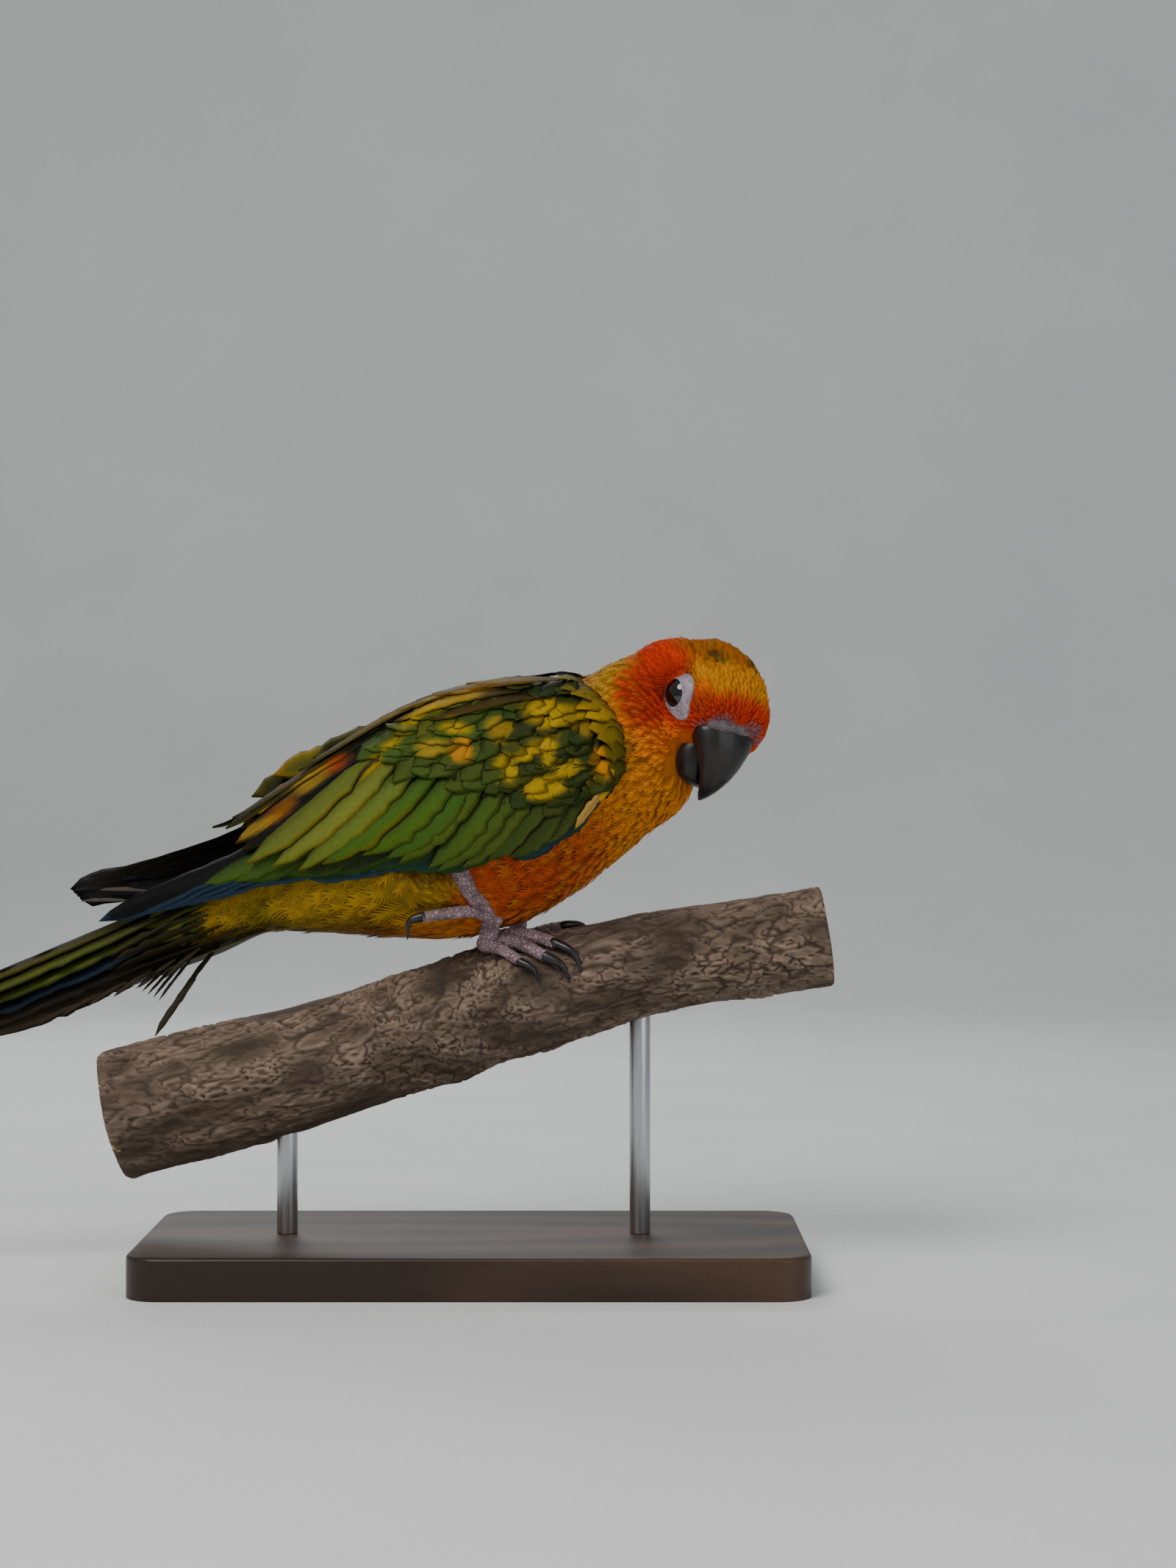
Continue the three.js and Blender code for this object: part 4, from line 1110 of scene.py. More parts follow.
@dataclass
class Coat:
    """Small contour feathers over the skin, in pieces by region."""

    skin: Skin
    wings: Sequence["Wing"]
    legs: Sequence["Leg"]
    seed: int = 7
    face: Pair = (1.9, 2.6)
    body: Pair = (6.5, 3.5)
    belly: float = 2.0
    by_eye: float = 1.5
    thigh: float = 5.5
    wing: float = 6.5
    gap: Pair = (0.17, 0.38)
    near_head: float = 30
    cell: float = 3.0
    trial: float = 2.6
    closest: float = 0.8
    # Brightness of each feather at its root and its rise to the tip: painted shade at the covered
    # roots.
    shade: Pair = (0.8, 0.27)
    uneven: Pair = (0.82, 1.2)
    turn: float = 0.16
    fixed: float = 0.86
    loose_from: float = 2.6
    loose: Pair = (0.3, 1.1)
    brightness: Pair = (0.88, 1.12)
    face_below: float = 3.6
    breast: Pair = (12, 52)

    def wanted(self, places: Array, normals: Array) -> tuple[Array, Array]:
        """Say how long a feather is at each place, and how far the next one is."""
        share = head_share(places)
        base = HEAD.outward(np.array([HEAD.bill_base]))[0]
        from_bill = norm(places - base)
        face = self.face[0] + self.face[1] * smooth(from_bill, 5, 26)
        body = self.body[0] + self.body[1] * smooth(-places[:, 0], -66, -30)
        belly = smooth(-normals[:, 2], 0.3, 0.9) * smooth(-places[:, 0], -30, 0)
        body = body + self.belly * belly
        long = face * share + body * (1 - share)
        local = HEAD.inward(places)
        for side in (-1, 1):
            by_eye = (EYE_RING.beyond(local, side) < 1.6) & (share > 0.5)
            long = np.where(by_eye, self.by_eye, long)
        for leg in self.legs:
            long = long - (long - self.thigh) * leg.thigh_share(places)
        long = np.where(wing_zone(places), self.wing, long)
        return long, self.gap[0] * long + self.gap[1]

    def allowed(self, places: Array) -> Array:
        """Leave out places under the wings, the eye rings and the bill."""
        local = HEAD.inward(places)
        near_head = norm(local) < self.near_head
        aside = np.abs(local[:, 1] - BILL_ASIDE)
        ahead, height = local[:, 0], local[:, 2]
        bare = (ahead > 12.5) & (aside < 10.6) & (height < 4.2 - 0.08 * aside**2)
        bare |= (ahead > 7) & (aside < 10.2) & (height < -4.6 - 1.2 * np.maximum(aside - 7.6, 0))
        keep = ~(near_head & bare & (height > -19))
        for side in (-1, 1):
            keep &= ~(near_head & (EYE_RING.beyond(local, side) < -0.2))
        for wing in self.wings:
            keep &= ~wing.covers(places)
        return keep

    def roots(self) -> tuple[Array, Array]:
        """Scatter feather roots evenly, closer together where feathers are short.

        Returns:
            Places and normals of the roots.
        """
        rng = np.random.default_rng(self.seed)
        places, faces = self.skin.arrays()
        a, b, c = (places[faces[:, k]] for k in range(3))
        cross = np.cross(b - a, c - a)
        area = norm(cross) / 2
        normal = unit(cross)
        middle = (a + b + c) / 3
        _, gap = self.wanted(middle, normal)
        rate = area / gap**2 * self.trial * self.allowed(middle)
        count = rng.poisson(rate)
        pick = np.repeat(np.arange(len(faces)), count)
        u = rng.random((len(pick), 2))
        over = u.sum(-1) > 1
        u[over] = 1 - u[over]
        at = a[pick] + u[:, :1] * (b - a)[pick] + u[:, 1:] * (c - a)[pick]
        order = rng.permutation(len(pick))
        at, pick = at[order], pick[order]
        gaps = gap[pick]
        grid: dict[tuple[int, int, int], list[int]] = {}
        kept: list[int] = []
        keys = np.floor(at / self.cell).astype(int)
        ok = self.allowed(at)
        for i in np.flatnonzero(ok):
            x, y, z = keys[i]
            near = [
                j
                for dx, dy, dz in product((-1, 0, 1), repeat=3)
                for j in grid.get((x + dx, y + dy, z + dz), ())
            ]
            if near:
                far = at[near] - at[i]
                if np.any(np.einsum("ij,ij->i", far, far) < (self.closest * gaps[i]) ** 2):
                    continue
            grid.setdefault((x, y, z), []).append(i)
            kept.append(i)
        return at[kept], normal[pick[kept]]

    def build(self) -> list[Object]:
        """Make the coat's pieces."""
        rng = np.random.default_rng(self.seed + 1)
        at, normals = self.roots()
        long, _ = self.wanted(at, normals)
        share = head_share(at)
        flow = lie_of_coat(at, normals, self.legs)
        long = long * rng.uniform(*self.uneven, len(at))
        yaw = rng.normal(0, self.turn, len(at))
        across = np.cross(normals, flow)
        flow = unit(flow * np.cos(yaw)[:, None] + across * np.sin(yaw)[:, None])
        middle, middle_normal = self.skin.snap(at + flow * (long * 0.5)[:, None])
        ahead = unit(middle - at)
        tip, tip_normal = self.skin.snap(middle + ahead * (long * 0.5)[:, None])
        depth = np.where(share > 0.5, self.skin.head_depth, self.skin.body_depth)
        depth = depth * (0.75 + 0.4 * rng.random(len(at)))
        loose = (rng.random(len(at)) > self.fixed) & (long > self.loose_from)
        ruffle = loose * rng.uniform(*self.loose, len(at)) * np.minimum(long / 6, 1)
        spine = [
            at - normals * 0.3,
            middle + middle_normal * (0.75 * depth)[:, None],
            tip + tip_normal * (0.85 * depth + ruffle)[:, None],
        ]
        tint = MARKINGS.at(at + flow * (long * 0.5)[:, None], normals)
        tint = tint * rng.uniform(*self.brightness, (len(at), 1))
        on_wing = wing_zone(at)
        tint = mixed(tint, Tone.YELLOW.rgb, rng.random(len(at)) ** 4 * 0.5 * (1 - share) * ~on_wing)
        back = smooth(normals[:, 2], 0.15, 0.5) * smooth(-at[:, 0], -54, -44) > 0.5
        head, body = share > 0.5, ~on_wing & (share <= 0.5)
        front, (belly_end, neck_end) = body & ~back, self.breast
        regions = {
            "coat_face": head & (long < self.face_below),
            "coat_head": head & (long >= self.face_below),
            "coat_shoulder": on_wing,
            "coat_mantle": body & back,
            "coat_neck": front & (at[:, 0] > neck_end),
            "coat_breast": front & (at[:, 0] >= belly_end) & (at[:, 0] <= neck_end),
            "coat_belly": front & (at[:, 0] < belly_end),
        }
        pieces = []
        for name, chosen in regions.items():
            small = name in ("coat_face", "coat_head")
            tuft, breadth = (Tuft(4), 0.62) if small else (Tuft(7), 0.72)
            edge = Tone.MUSTARD.rgb if name == "coat_mantle" else None
            rows = [part[chosen] for part in (*spine, normals, tip_normal)]
            width = long[chosen] * breadth
            pieces.append(self.tufts(name, tuft, rows, width, tint[chosen], at[chosen], edge))
        return pieces

    def tufts(
        self,
        name: str,
        tuft: Tuft,
        spine: Sequence[Array],
        width: Array,
        tint: Array,
        roots: Array,
        edge: Array | None,
    ) -> Object:
        """Lay one feather on each spine and join them.

        Args:
            name: Name of the piece.
            tuft: Shape of the feather.
            spine: Root, middle and tip of each feather, then outward directions at root and tip.
            width: Width of each feather.
            tint: Colour of each feather.
            roots: Where each feather leaves the skin.
            edge: Colour of the feathers' edges, if it differs.

        Returns:
            The joined piece.
        """
        rows, triangles = tuft.template()
        a, s, h = rows[:, 0], rows[:, 1], rows[:, 2]
        start, middle, tip, root_out, tip_out = spine
        bend = 2 * middle - (start + tip) / 2
        s1 = s[None, :, None]
        centre = (1 - s1) ** 2 * start[:, None] + 2 * s1 * (1 - s1) * bend[:, None]
        centre = centre + s1**2 * tip[:, None]
        ahead = unit(2 * (1 - s1) * (bend - start)[:, None] + 2 * s1 * (tip - bend)[:, None])
        out = unit((1 - s1) * root_out[:, None] + s1 * tip_out[:, None])
        across = unit(np.cross(out, ahead))
        up = np.cross(ahead, across)
        rise = np.where(h == -1, -tuft.thick * 1.6, h)
        points = centre + across * (a[None, :] * width[:, None])[..., None]
        points = points + up * rise[None, :, None]
        count, size = len(start), len(rows)
        offset = (np.arange(count) * size)[:, None, None]
        faces = (triangles[None] + offset).reshape(-1, 3)
        # Darker at the root than at the tip: painted shade where the feathers overlap.
        shade = self.shade[0] + self.shade[1] * s
        colour = tint[:, None] * shade[None, :, None]
        if edge is not None:
            rim = smooth(np.hypot(a * 2, np.maximum(s - 0.2, 0)), 0.75, 1.0)
            colour = mixed(colour, edge, np.broadcast_to(rim[None] * 0.8, colour.shape[:2]))
        flat = unwrap(roots)[:, None] + (rows[None, :, :2] - [0, 0.5]) * TUFT_PATCH
        points, colour = points.reshape(-1, 3), colour.reshape(-1, 3)
        return mesh_piece(name, points, faces, colour, flat.reshape(-1, 2))


def on_sheet(x: Array, z: Array, side: int, lift: Array) -> Array:
    """Find places on the wing's sheet.

    Args:
        x: Places along the bird, in the side view.
        z: Heights in the side view.
        side: Sign of Y.
        lift: Distance off the flank.

    Returns:
        Places in the model's frame.
    """
    low, high = np.zeros(np.shape(x)), np.ones(np.shape(x))
    for _ in range(22):
        middle = (low + high) / 2
        centre, up, _, _ = WING_SHEET.at(middle)
        beside = (x - centre[..., 0]) * up[..., 2] - (z - centre[..., 2]) * up[..., 0]
        low = np.where(beside > 0, middle, low)
        high = np.where(beside > 0, high, middle)
    centre, up, height, half = WING_SHEET.at(low)
    rise = (x - centre[..., 0]) * up[..., 0] + (z - centre[..., 2]) * up[..., 2]
    angle = np.arcsin(np.clip(rise / height, -0.94, 0.94))
    place = centre + up * ((height + lift) * np.sin(angle))[..., None]
    place[..., 1] = side * (half + lift) * np.cos(angle)
    return place


@dataclass(frozen=True)
class VaneForm:
    """Shape of a flight feather or covert: a thin cambered blade with a shaft."""

    rows: int = 14
    columns: int = 6
    thick: float = 0.3
    camber: float = 0.09
    shaft: float = 0.18
    blunt: float = 0.62
    ragged: float = 0.06
    inner: float = 0.56
    line: float = 0.4
    under: Tone = Tone.DUSK

    def half(self, t: Array) -> Array:
        """Half width of the blade along it, for a width of one."""
        tip = np.clip((t - self.blunt) / (1 - self.blunt), 0, 1)
        return np.maximum(np.minimum(1, 0.42 + 1.6 * t) * (1 - tip**2.6), 0.03) * 0.5


@dataclass
class Feathers:
    """Collects blades and makes one joined piece of them."""

    form: VaneForm
    rng: Generator
    points: list[Array] = field(default_factory=list)
    faces: list[Array] = field(default_factory=list)
    tints: list[Array] = field(default_factory=list)
    flats: list[Array] = field(default_factory=list)

    def lay(
        self,
        spine: Array,
        across: Array,
        out: Array,
        width: float,
        colour: Colouring,
    ) -> None:
        """Add one blade.

        Args:
            spine: Places along the shaft, one for each row.
            across: Direction of the blade's breadth at each row.
            out: Direction out of the blade at each row.
            width: Breadth in millimetres.
            colour: Gives colours from across, -1 to 1, along, 0 to 1, and places.
        """
        form = self.form
        t = np.linspace(0, 1, form.rows + 1)
        a = np.linspace(-1, 1, form.columns + 1)
        under_a = a[1:-1:2][::-1]
        both = np.concatenate([a, under_a])
        below = np.arange(len(both)) > form.columns
        uneven = self.rng.normal(0, 1, (form.rows + 1, 2)) * smooth(t, 0.1, 0.4)[:, None]
        half = form.half(t)[:, None] * width * 2 * (1 + form.ragged * uneven)
        reach = np.where(both < 0, half[:, :1] * form.inner, half[:, 1:] * (1 - form.inner)) * both
        height = -form.camber * width * both**2 * smooth(t, 0, 0.3)[:, None] - form.thick * below
        rib = form.shaft * np.exp(-((reach / 0.45) ** 2)) * (1 - 0.7 * t[:, None])
        height = height + rib * ~below
        ring = spine[:, None] + across[:, None] * reach[..., None]
        ring = ring + out[:, None] * height[..., None]
        size = len(both)
        index = np.arange((form.rows + 1) * size).reshape(form.rows + 1, size)
        here, after = index[:-1], index[1:]
        here_next, after_next = np.roll(here, -1, 1), np.roll(after, -1, 1)
        halves = ((here, here_next, after_next), (here, after_next, after))
        sides = [np.stack(half_quad, -1).reshape(-1, 3) for half_quad in halves]
        first, last = (
            np.stack([np.full(size - 2, row[0]), row[1:-1], row[2:]], -1)
            for row in (index[0], index[-1])
        )
        faces = np.concatenate([*sides, first[:, ::-1], last])
        grid_a = np.tile(both, form.rows + 1)
        grid_t = np.repeat(t, size)
        tint = colour(grid_a, grid_t, ring.reshape(-1, 3))
        line = form.line * np.exp(-((reach.ravel() / 0.35) ** 2)) * (1 - 0.5 * grid_t)
        tint = tint * (1 - line)[:, None]
        tint = mixed(tint, form.under.rgb, np.tile(below, form.rows + 1) * 0.75)
        start = sum(len(part) for part in self.points)
        handed = float(np.sum(np.cross(across[0], spine[-1] - spine[0]) * out[0]))
        length = np.sum(norm(np.diff(spine, axis=0)))
        number = np.full(len(tint), len(self.points))
        self.points.append(ring.reshape(-1, 3))
        self.faces.append((faces if handed > 0 else faces[:, ::-1]) + start)
        self.tints.append(tint)
        self.flats.append(np.stack([reach.ravel(), grid_t * length, grid_a, grid_t, number], -1))

    def piece(self, name: str) -> Object:
        """Join the blades, each with a field of its own on the bake map."""
        flats = np.concatenate(self.flats)
        columns = math.ceil(math.sqrt(len(self.points) * 3))
        lines = math.ceil(len(self.points) / columns)
        cell = flats[:, 4]
        across = (cell % columns + 0.5 + 0.4 * flats[:, 2]) / columns
        along = (np.floor(cell / columns) + 0.08 + 0.84 * flats[:, 3]) / lines
        parts = [np.concatenate(rows) for rows in (self.points, self.faces, self.tints)]
        return mesh_piece(name, *parts, np.stack([across, along], -1), flats[:, :2], True)


@dataclass(frozen=True)
class Tract:
    """A row of wing feathers: lines of roots and tips from the side, and their lie."""

    name: str
    count: int
    root: Sequence[Sequence[float]]
    tip: Sequence[Sequence[float]]
    width: Pair
    lift: Pair
    tilt: float
    bow: float
    tones: tuple[Tone, ...]
    edge: Tone
    rim: float = 0.5
    form: VaneForm = VaneForm()
    scatter: float = 0.7


LONG_VANE = VaneForm(rows=20, blunt=0.78)
COVERT = VaneForm(rows=18, blunt=0.5, ragged=0.08)
SMALL = VaneForm(
    rows=10, columns=4, thick=0.12, camber=0.03, shaft=0.03, blunt=0.25, ragged=0.13, line=0.0
)
COVERT_LINES = (
    ((54.5, 148.5), (44, 144.5), (30, 149), (13, 153), (-1, 155)),
    ((48.5, 139), (36.5, 134), (20, 138.6), (2, 142.6), (-13, 145.4)),
    ((47, 168), (39, 169), (31, 169.4), (23, 169), (15, 168)),
    ((42, 162.5), (33, 162), (24, 162), (12, 161.6), (3, 160)),
)


def small_coverts(rows: int = 8) -> list[Tract]:
    """Lay out the rows of small coverts, from the long coverts up to the shoulder."""
    tracts = []
    low_root, low_tip, high_root, high_tip = (np.array(line) for line in COVERT_LINES)
    for k in range(rows):
        f = k / (rows - 1)
        root, tip = low_root + (high_root - low_root) * f, low_tip + (high_tip - low_tip) * f
        tones = (Tone.DEEP_GREEN, Tone.DEEP_GREEN, Tone.GREEN, Tone.OLIVE if k > 3 else Tone.GREEN)
        width = (8.6 - 1.6 * f, 9.6 - 1.6 * f)
        tracts.append(
            Tract(f"small_coverts_{k + 1}", round(14 - 5 * f), root, tip, width, (3.3, 5.4), 3.5,
                  -1, tones, Tone.GREEN, 0.15, SMALL, 1.3)
        )
    return tracts


WING_TRACTS = (
    Tract(
        "marginals", 13, ((50, 170), (57, 164), (61.6, 154), (60.4, 144), (55, 137)),
        ((41, 166.6), (48, 161), (53, 152.4), (52.4, 143.6), (46.6, 139)), (7, 7), (0.2, 6.2),
        3, 0.6, (Tone.OLIVE, Tone.MUSTARD, Tone.OLIVE, Tone.DEEP_GREEN), Tone.MUSTARD, 0.3,
        SMALL, 0.6,
    ),
    Tract(
        "primaries", 11, ((24, 126), (-12, 137)), ((-24, 118.6), (-57, 111.2), (-88.4, 103.2)),
        (5.4, 7.0), (2.2, 1.2), 9, -0.6, (Tone.TEAL, Tone.INK, Tone.INK), Tone.PALE_BLUE, 0.55,
        LONG_VANE, 0.5,
    ),
    Tract(
        "secondaries", 12, ((34, 130), (0, 148)), ((6, 120.4), (-28, 117.4), (-58, 113.6)),
        (6.6, 6.6), (2.8, 2.2), 9, -1.6, (Tone.TEAL, Tone.DEEP_GREEN, Tone.GREEN),
        Tone.BRIGHT_GREEN, 0.8, LONG_VANE,
    ),
    Tract(
        "leading_coverts", 7, ((55.5, 148), (49, 139)), ((43.5, 129), (30, 122.2)), (6, 7),
        (3.0, 3.2), 8, -2, (Tone.DEEP_GREEN, Tone.TEAL), Tone.BLUE, 0.6, COVERT, 0.3,
    ),
    Tract(
        "greater_coverts", 9, ((52.5, 145), (35, 148), (17, 151)),
        ((36, 127), (10, 119.6), (-12.5, 122.6)), (6.6, 9), (3.0, 5.2), 17, -1.8,
        (Tone.DEEP_GREEN, Tone.GREEN, Tone.BRIGHT_GREEN), Tone.LEAF, 0.85, COVERT, 1.0,
    ),
    Tract(
        "inner_coverts", 4, ((12, 150), (5, 154), (-4, 155.5)),
        ((-23, 120), (-34, 116.6), (-46.4, 117.6)), (9.6, 11), (3.0, 5.4), 18, -1.4,
        (Tone.BRIGHT_GREEN, Tone.LEAF, Tone.LEAF), Tone.STRAW, 0.5, COVERT,
    ),
    Tract(
        "tertials", 6, ((2, 157), (-9, 157)), ((-47, 121), (-52, 127.5), (-46, 137)), (7.5, 7.5),
        (3.6, 4.4), 7, 1, (Tone.INK, Tone.DARK_OLIVE, Tone.MANTLE), Tone.OLIVE, 0.6, LONG_VANE,
    ),
    *small_coverts(),
    Tract(
        "scapulars", 9, ((38, 164), (16, 166), (4, 162)), ((6, 157.5), (-14, 155), (-34, 146.5)),
        (7, 7), (4.6, 5.4), 7, 1, (Tone.MANTLE, Tone.SEPIA, Tone.DARK_OLIVE), Tone.SEPIA, 0.5,
        COVERT, 1.0,
    ),
    Tract(
        "upper_scapulars", 7, ((44, 168), (22, 169.5)), ((20, 165), (-6, 160)), (7, 7), (4.4, 5.4),
        7, 1, (Tone.SEPIA, Tone.MANTLE), Tone.CROWN, 0.6, COVERT, 1.0,
    ),
)


@dataclass
class Wing:
    """One folded wing: its fleshy core and its rows of feathers."""

    side: Side
    turn: float = 0.0
    reach: float = 1.0
    shoulder: Pair = (48, 152)
    upper: tuple[Pair, ...] = (
        (55.5, 147), (47, 162), (30, 165), (10, 160), (-8, 150), (-20, 140), (-27, 131),
    )
    lower: tuple[Pair, ...] = (
        (54.4, 139.5), (43, 132), (28, 125), (10, 123.5), (-6, 123), (-18, 122.5), (-26, 123.5),
    )
    thick: Pair = (3.4, 2.0)

    def carried(self, flat: Array) -> Array:
        """Turn places of the side view about the shoulder, as this wing is carried."""
        c = math.cos(math.radians(self.turn)) * self.reach
        s = math.sin(math.radians(self.turn)) * self.reach
        return (flat - self.shoulder) @ np.array([[c, s], [-s, c]]) + self.shoulder

    def add_core(self, mesh: BMesh) -> None:
        """Add the wing's fleshy core to a mesh as a closed slab."""
        t = np.linspace(0, 1, 25)
        v = np.linspace(0.02, 0.98, 12)
        thick = through(self.thick, t)
        rings = []
        for low, high, size in zip(through(self.lower, t), through(self.upper, t), thick):
            flat = self.carried(low + (high - low) * v[:, None])
            rim = np.sqrt(np.sin(math.pi * v)) * size
            outer = on_sheet(flat[:, 0], flat[:, 1], self.side.value, rim)
            inner = on_sheet(flat[:, 0], flat[:, 1], self.side.value, rim * 0 - 4.0)
            rings.append(np.concatenate([outer, inner[::-1]]))
        from_rings(mesh, rings)

    def covers(self, places: Array) -> Array:
        """Say which places on the skin lie well under the wing's long feathers."""
        edge = self.carried(np.array(WING_COVERED, float)).tolist()
        on_side = places[:, 1] * self.side.value > 4
        return within(edge, places) & on_side & ~wing_zone(places)

    def lay_tract(self, tract: Tract, feathers: Feathers) -> None:
        """Add the feathers of one tract to a collection."""
        rng = feathers.rng
        t = np.linspace(0, 1, tract.form.rows + 1)
        side = self.side.value
        tilt = math.radians(tract.tilt)
        for u in np.linspace(0, 1, tract.count):
            start = through(tract.root, u) + rng.normal(0, tract.scatter / 2, 2)
            end = through(tract.tip, u) + rng.normal(0, tract.scatter, 2)
            flat = start + (end - start) * t[:, None]
            flat[:, 1] += (tract.bow + rng.normal(0, 0.5)) * np.sin(math.pi * t)
            lift = tract.lift[0] + (tract.lift[1] - tract.lift[0]) * t**0.8
            shown = self.carried(flat)
            place = on_sheet(shown[:, 0], shown[:, 1], side, lift)
            off = unit(on_sheet(shown[:, 0], shown[:, 1], side, lift + 1) - place)
            ahead = unit(np.gradient(place, axis=0))
            across = unit(np.cross(off, ahead))
            across = across * np.where(across[:, 2:] < 0, -1, 1)
            turned = tilt * rng.uniform(0.7, 1.3)
            across = unit(across * math.cos(turned) - off * math.sin(turned))
            out = unit(np.cross(ahead, across))
            out = out * np.sign(np.sum(out * off, -1, keepdims=True))
            width = (tract.width[0] * (1 - u) + tract.width[1] * u) * rng.uniform(0.92, 1.08)
            feathers.lay(place, across, out, width, self.colours(tract, float(u), rng))

    def colours(
        self, tract: Tract, u: float, rng: Generator
    ) -> Colouring:
        """Choose the colours of one feather of a tract.

        Args:
            tract: The tract it belongs to.
            u: Its place in the tract, from 0 to 1.
            rng: Source of small differences.

        Returns:
            A function that gives colours from across and along the feather.
        """
        base = through([tone.rgb for tone in tract.tones], u) * rng.uniform(0.78, 1.22)
        olive = rng.random() * 0.3 * (tract.form is not LONG_VANE)
        base = mixed(np.maximum(base, 0), Tone.OLIVE.rgb, olive)
        shift = np.array([rng.normal(0, 0.7), 0, rng.normal(0, 0.7)])
        strong = rng.uniform(0.75, 1.05)
        inner = 0.25 if tract.form is SMALL else 0.65

        def colour(a: Array, t: Array, places: Array) -> Array:
            """Colour from across and along the feather, and the place."""
            # The inner web goes towards ink and loses its blots: partly its own darker colour,
            # partly painted shade where the next feather lies over it.
            bright = 1 - 0.5 * inner * smooth(a, 0.4, 0.9)
            edge = np.maximum(smooth(-a, 0.7, 1.0), smooth(t, 0.94, 1.0) * 0.7)
            layers = [
                (Tone.INK, smooth(a, 0.0, 0.6) * inner),
                *((blot.tone, blot.share(places + shift) * strong * bright) for blot in WING_BLOTS),
                (tract.edge, edge * tract.rim * smooth(t, 0.2, 0.5)),
            ]
            # Darker towards the root: partly the feathers' own dark bases, partly painted shade
            # under the row above.
            return layered(base, layers) * (0.6 + 0.4 * smooth(t, 0.0, 0.45))[:, None]

        return colour

    def build(self) -> list[Object]:
        """Make the wing's pieces: flight feathers, coverts, and those by the back."""
        name = self.side.name.lower()
        pieces = []
        seed = 20 + (self.side is Side.LEFT)
        for k, tract in enumerate(WING_TRACTS):
            batch = Feathers(tract.form, np.random.default_rng(seed + 2 * k))
            self.lay_tract(tract, batch)
            pieces.append(batch.piece(f"wing_{name}_{tract.name}"))
        return pieces


@dataclass(frozen=True)
class Plume:
    """A loose feather by its root and tip, with its breadth and tones."""

    root: Triple
    tip: Triple
    width: float
    tone: Tone
    edge: Tone
    out: Triple = (0.3, -0.8, 0.5)
    blunt: float = 0.66


LOOSE_PLUMES = (
    Plume((-8, 7, 153), (-47.4, 8, 138.4), 9, Tone.DARK_OLIVE, Tone.OLIVE),
    Plume((-12, 6, 147), (-50.6, 7, 128.8), 9, Tone.INK, Tone.MUSTARD),
    Plume((-4, 4, 155), (-41, 5, 144.4), 8, Tone.OLIVE, Tone.MUSTARD),
    Plume((-10, 3, 149), (-45, 4, 133.4), 8, Tone.DARK_OLIVE, Tone.AMBER),
    Plume((4, 3, 159), (-29, 3, 149.6), 8, Tone.INK, Tone.OLIVE),
    Plume((-14, 4, 143), (-44, 5, 124.6), 8, Tone.INK, Tone.BLUE),
    *(
        Plume((-50 + 2 * k, 14 - k, 117.4 - 1.8 * k), (-100.6 + 1.1 * k, 10 - k, 111.4 - 0.9 * k),
              7.0, Tone.INK, Tone.INK, blunt=0.9)
        for k in range(4)
    ),
    Plume((-76, 5.4, 110.6), (-91.4, 4.6, 111.2), 1.2, Tone.ASH, Tone.ASH),
    Plume((-80, 4.8, 107.6), (-96.4, 4.2, 108.0), 1.2, Tone.ASH, Tone.ASH),
    *(
        Plume((-60 - 7 * k, -9, 95 - 3.2 * k), (-70 - 7.4 * k, -9.6, 86.5 - 2.7 * k), 1.3,
              Tone.DUSK, Tone.BROWN)
        for k in range(6)
    ),
    *(
        Plume((-62 - 1.7 * k, -3.4, 93 - 0.6 * k), (-72.4 - 1.6 * k, -6.2, 79.6 + 0.9 * k), 0.9,
              Tone.DUSK, Tone.INK)
        for k in range(5)
    ),
    Plume((-55, -2.6, 96), (-70.2, -6.4, 75), 1.5, Tone.DARK_OLIVE, Tone.DUSK),
    Plume((-62, -4.8, 86), (-73.4, -7.4, 69.4), 1.9, Tone.DUSK, Tone.BROWN),
    Plume((57, -28.4, 142), (47.4, -31.0, 129.4), 2.3, Tone.CREAM, Tone.STRAW, (0.2, -1.0, 0.1)),
    Plume((58, -27.2, 146), (54.4, -29.4, 137), 3.0, Tone.YELLOW, Tone.STRAW, (0.2, -1.0, 0.1)),
)


def loose_plumes() -> Object:
    """Make the ruffled feathers over the rump and before the wing."""
    batch = Feathers(VaneForm(rows=16, blunt=0.66, ragged=0.1), np.random.default_rng(31))
    t = np.linspace(0, 1, batch.form.rows + 1)
    for plume in LOOSE_PLUMES:
        root, tip = np.array(plume.root), np.array(plume.tip)
        spine = root + (tip - root) * t[:, None]
        spine[:, 2] += 0.03 * np.linalg.norm(tip - root) * np.sin(math.pi * t)
        ahead = unit(np.gradient(spine, axis=0))
        out = unit(np.array(plume.out))
        across = unit(np.cross(np.tile(out, (len(t), 1)), ahead))

        def colour(a: Array, s: Array, _: Array, plume: Plume = plume) -> Array:
            """Colour from across and along the feather."""
            edge = np.maximum(smooth(np.abs(a), 0.5, 0.95), smooth(s, 0.85, 1))
            return mixed(plume.tone.rgb, plume.edge.rgb, edge)

        batch.form = VaneForm(rows=16, blunt=plume.blunt, ragged=0.1)
        batch.lay(spine, across, unit(np.cross(ahead, across)), plume.width, colour)
    return batch.piece("loose_plumes")


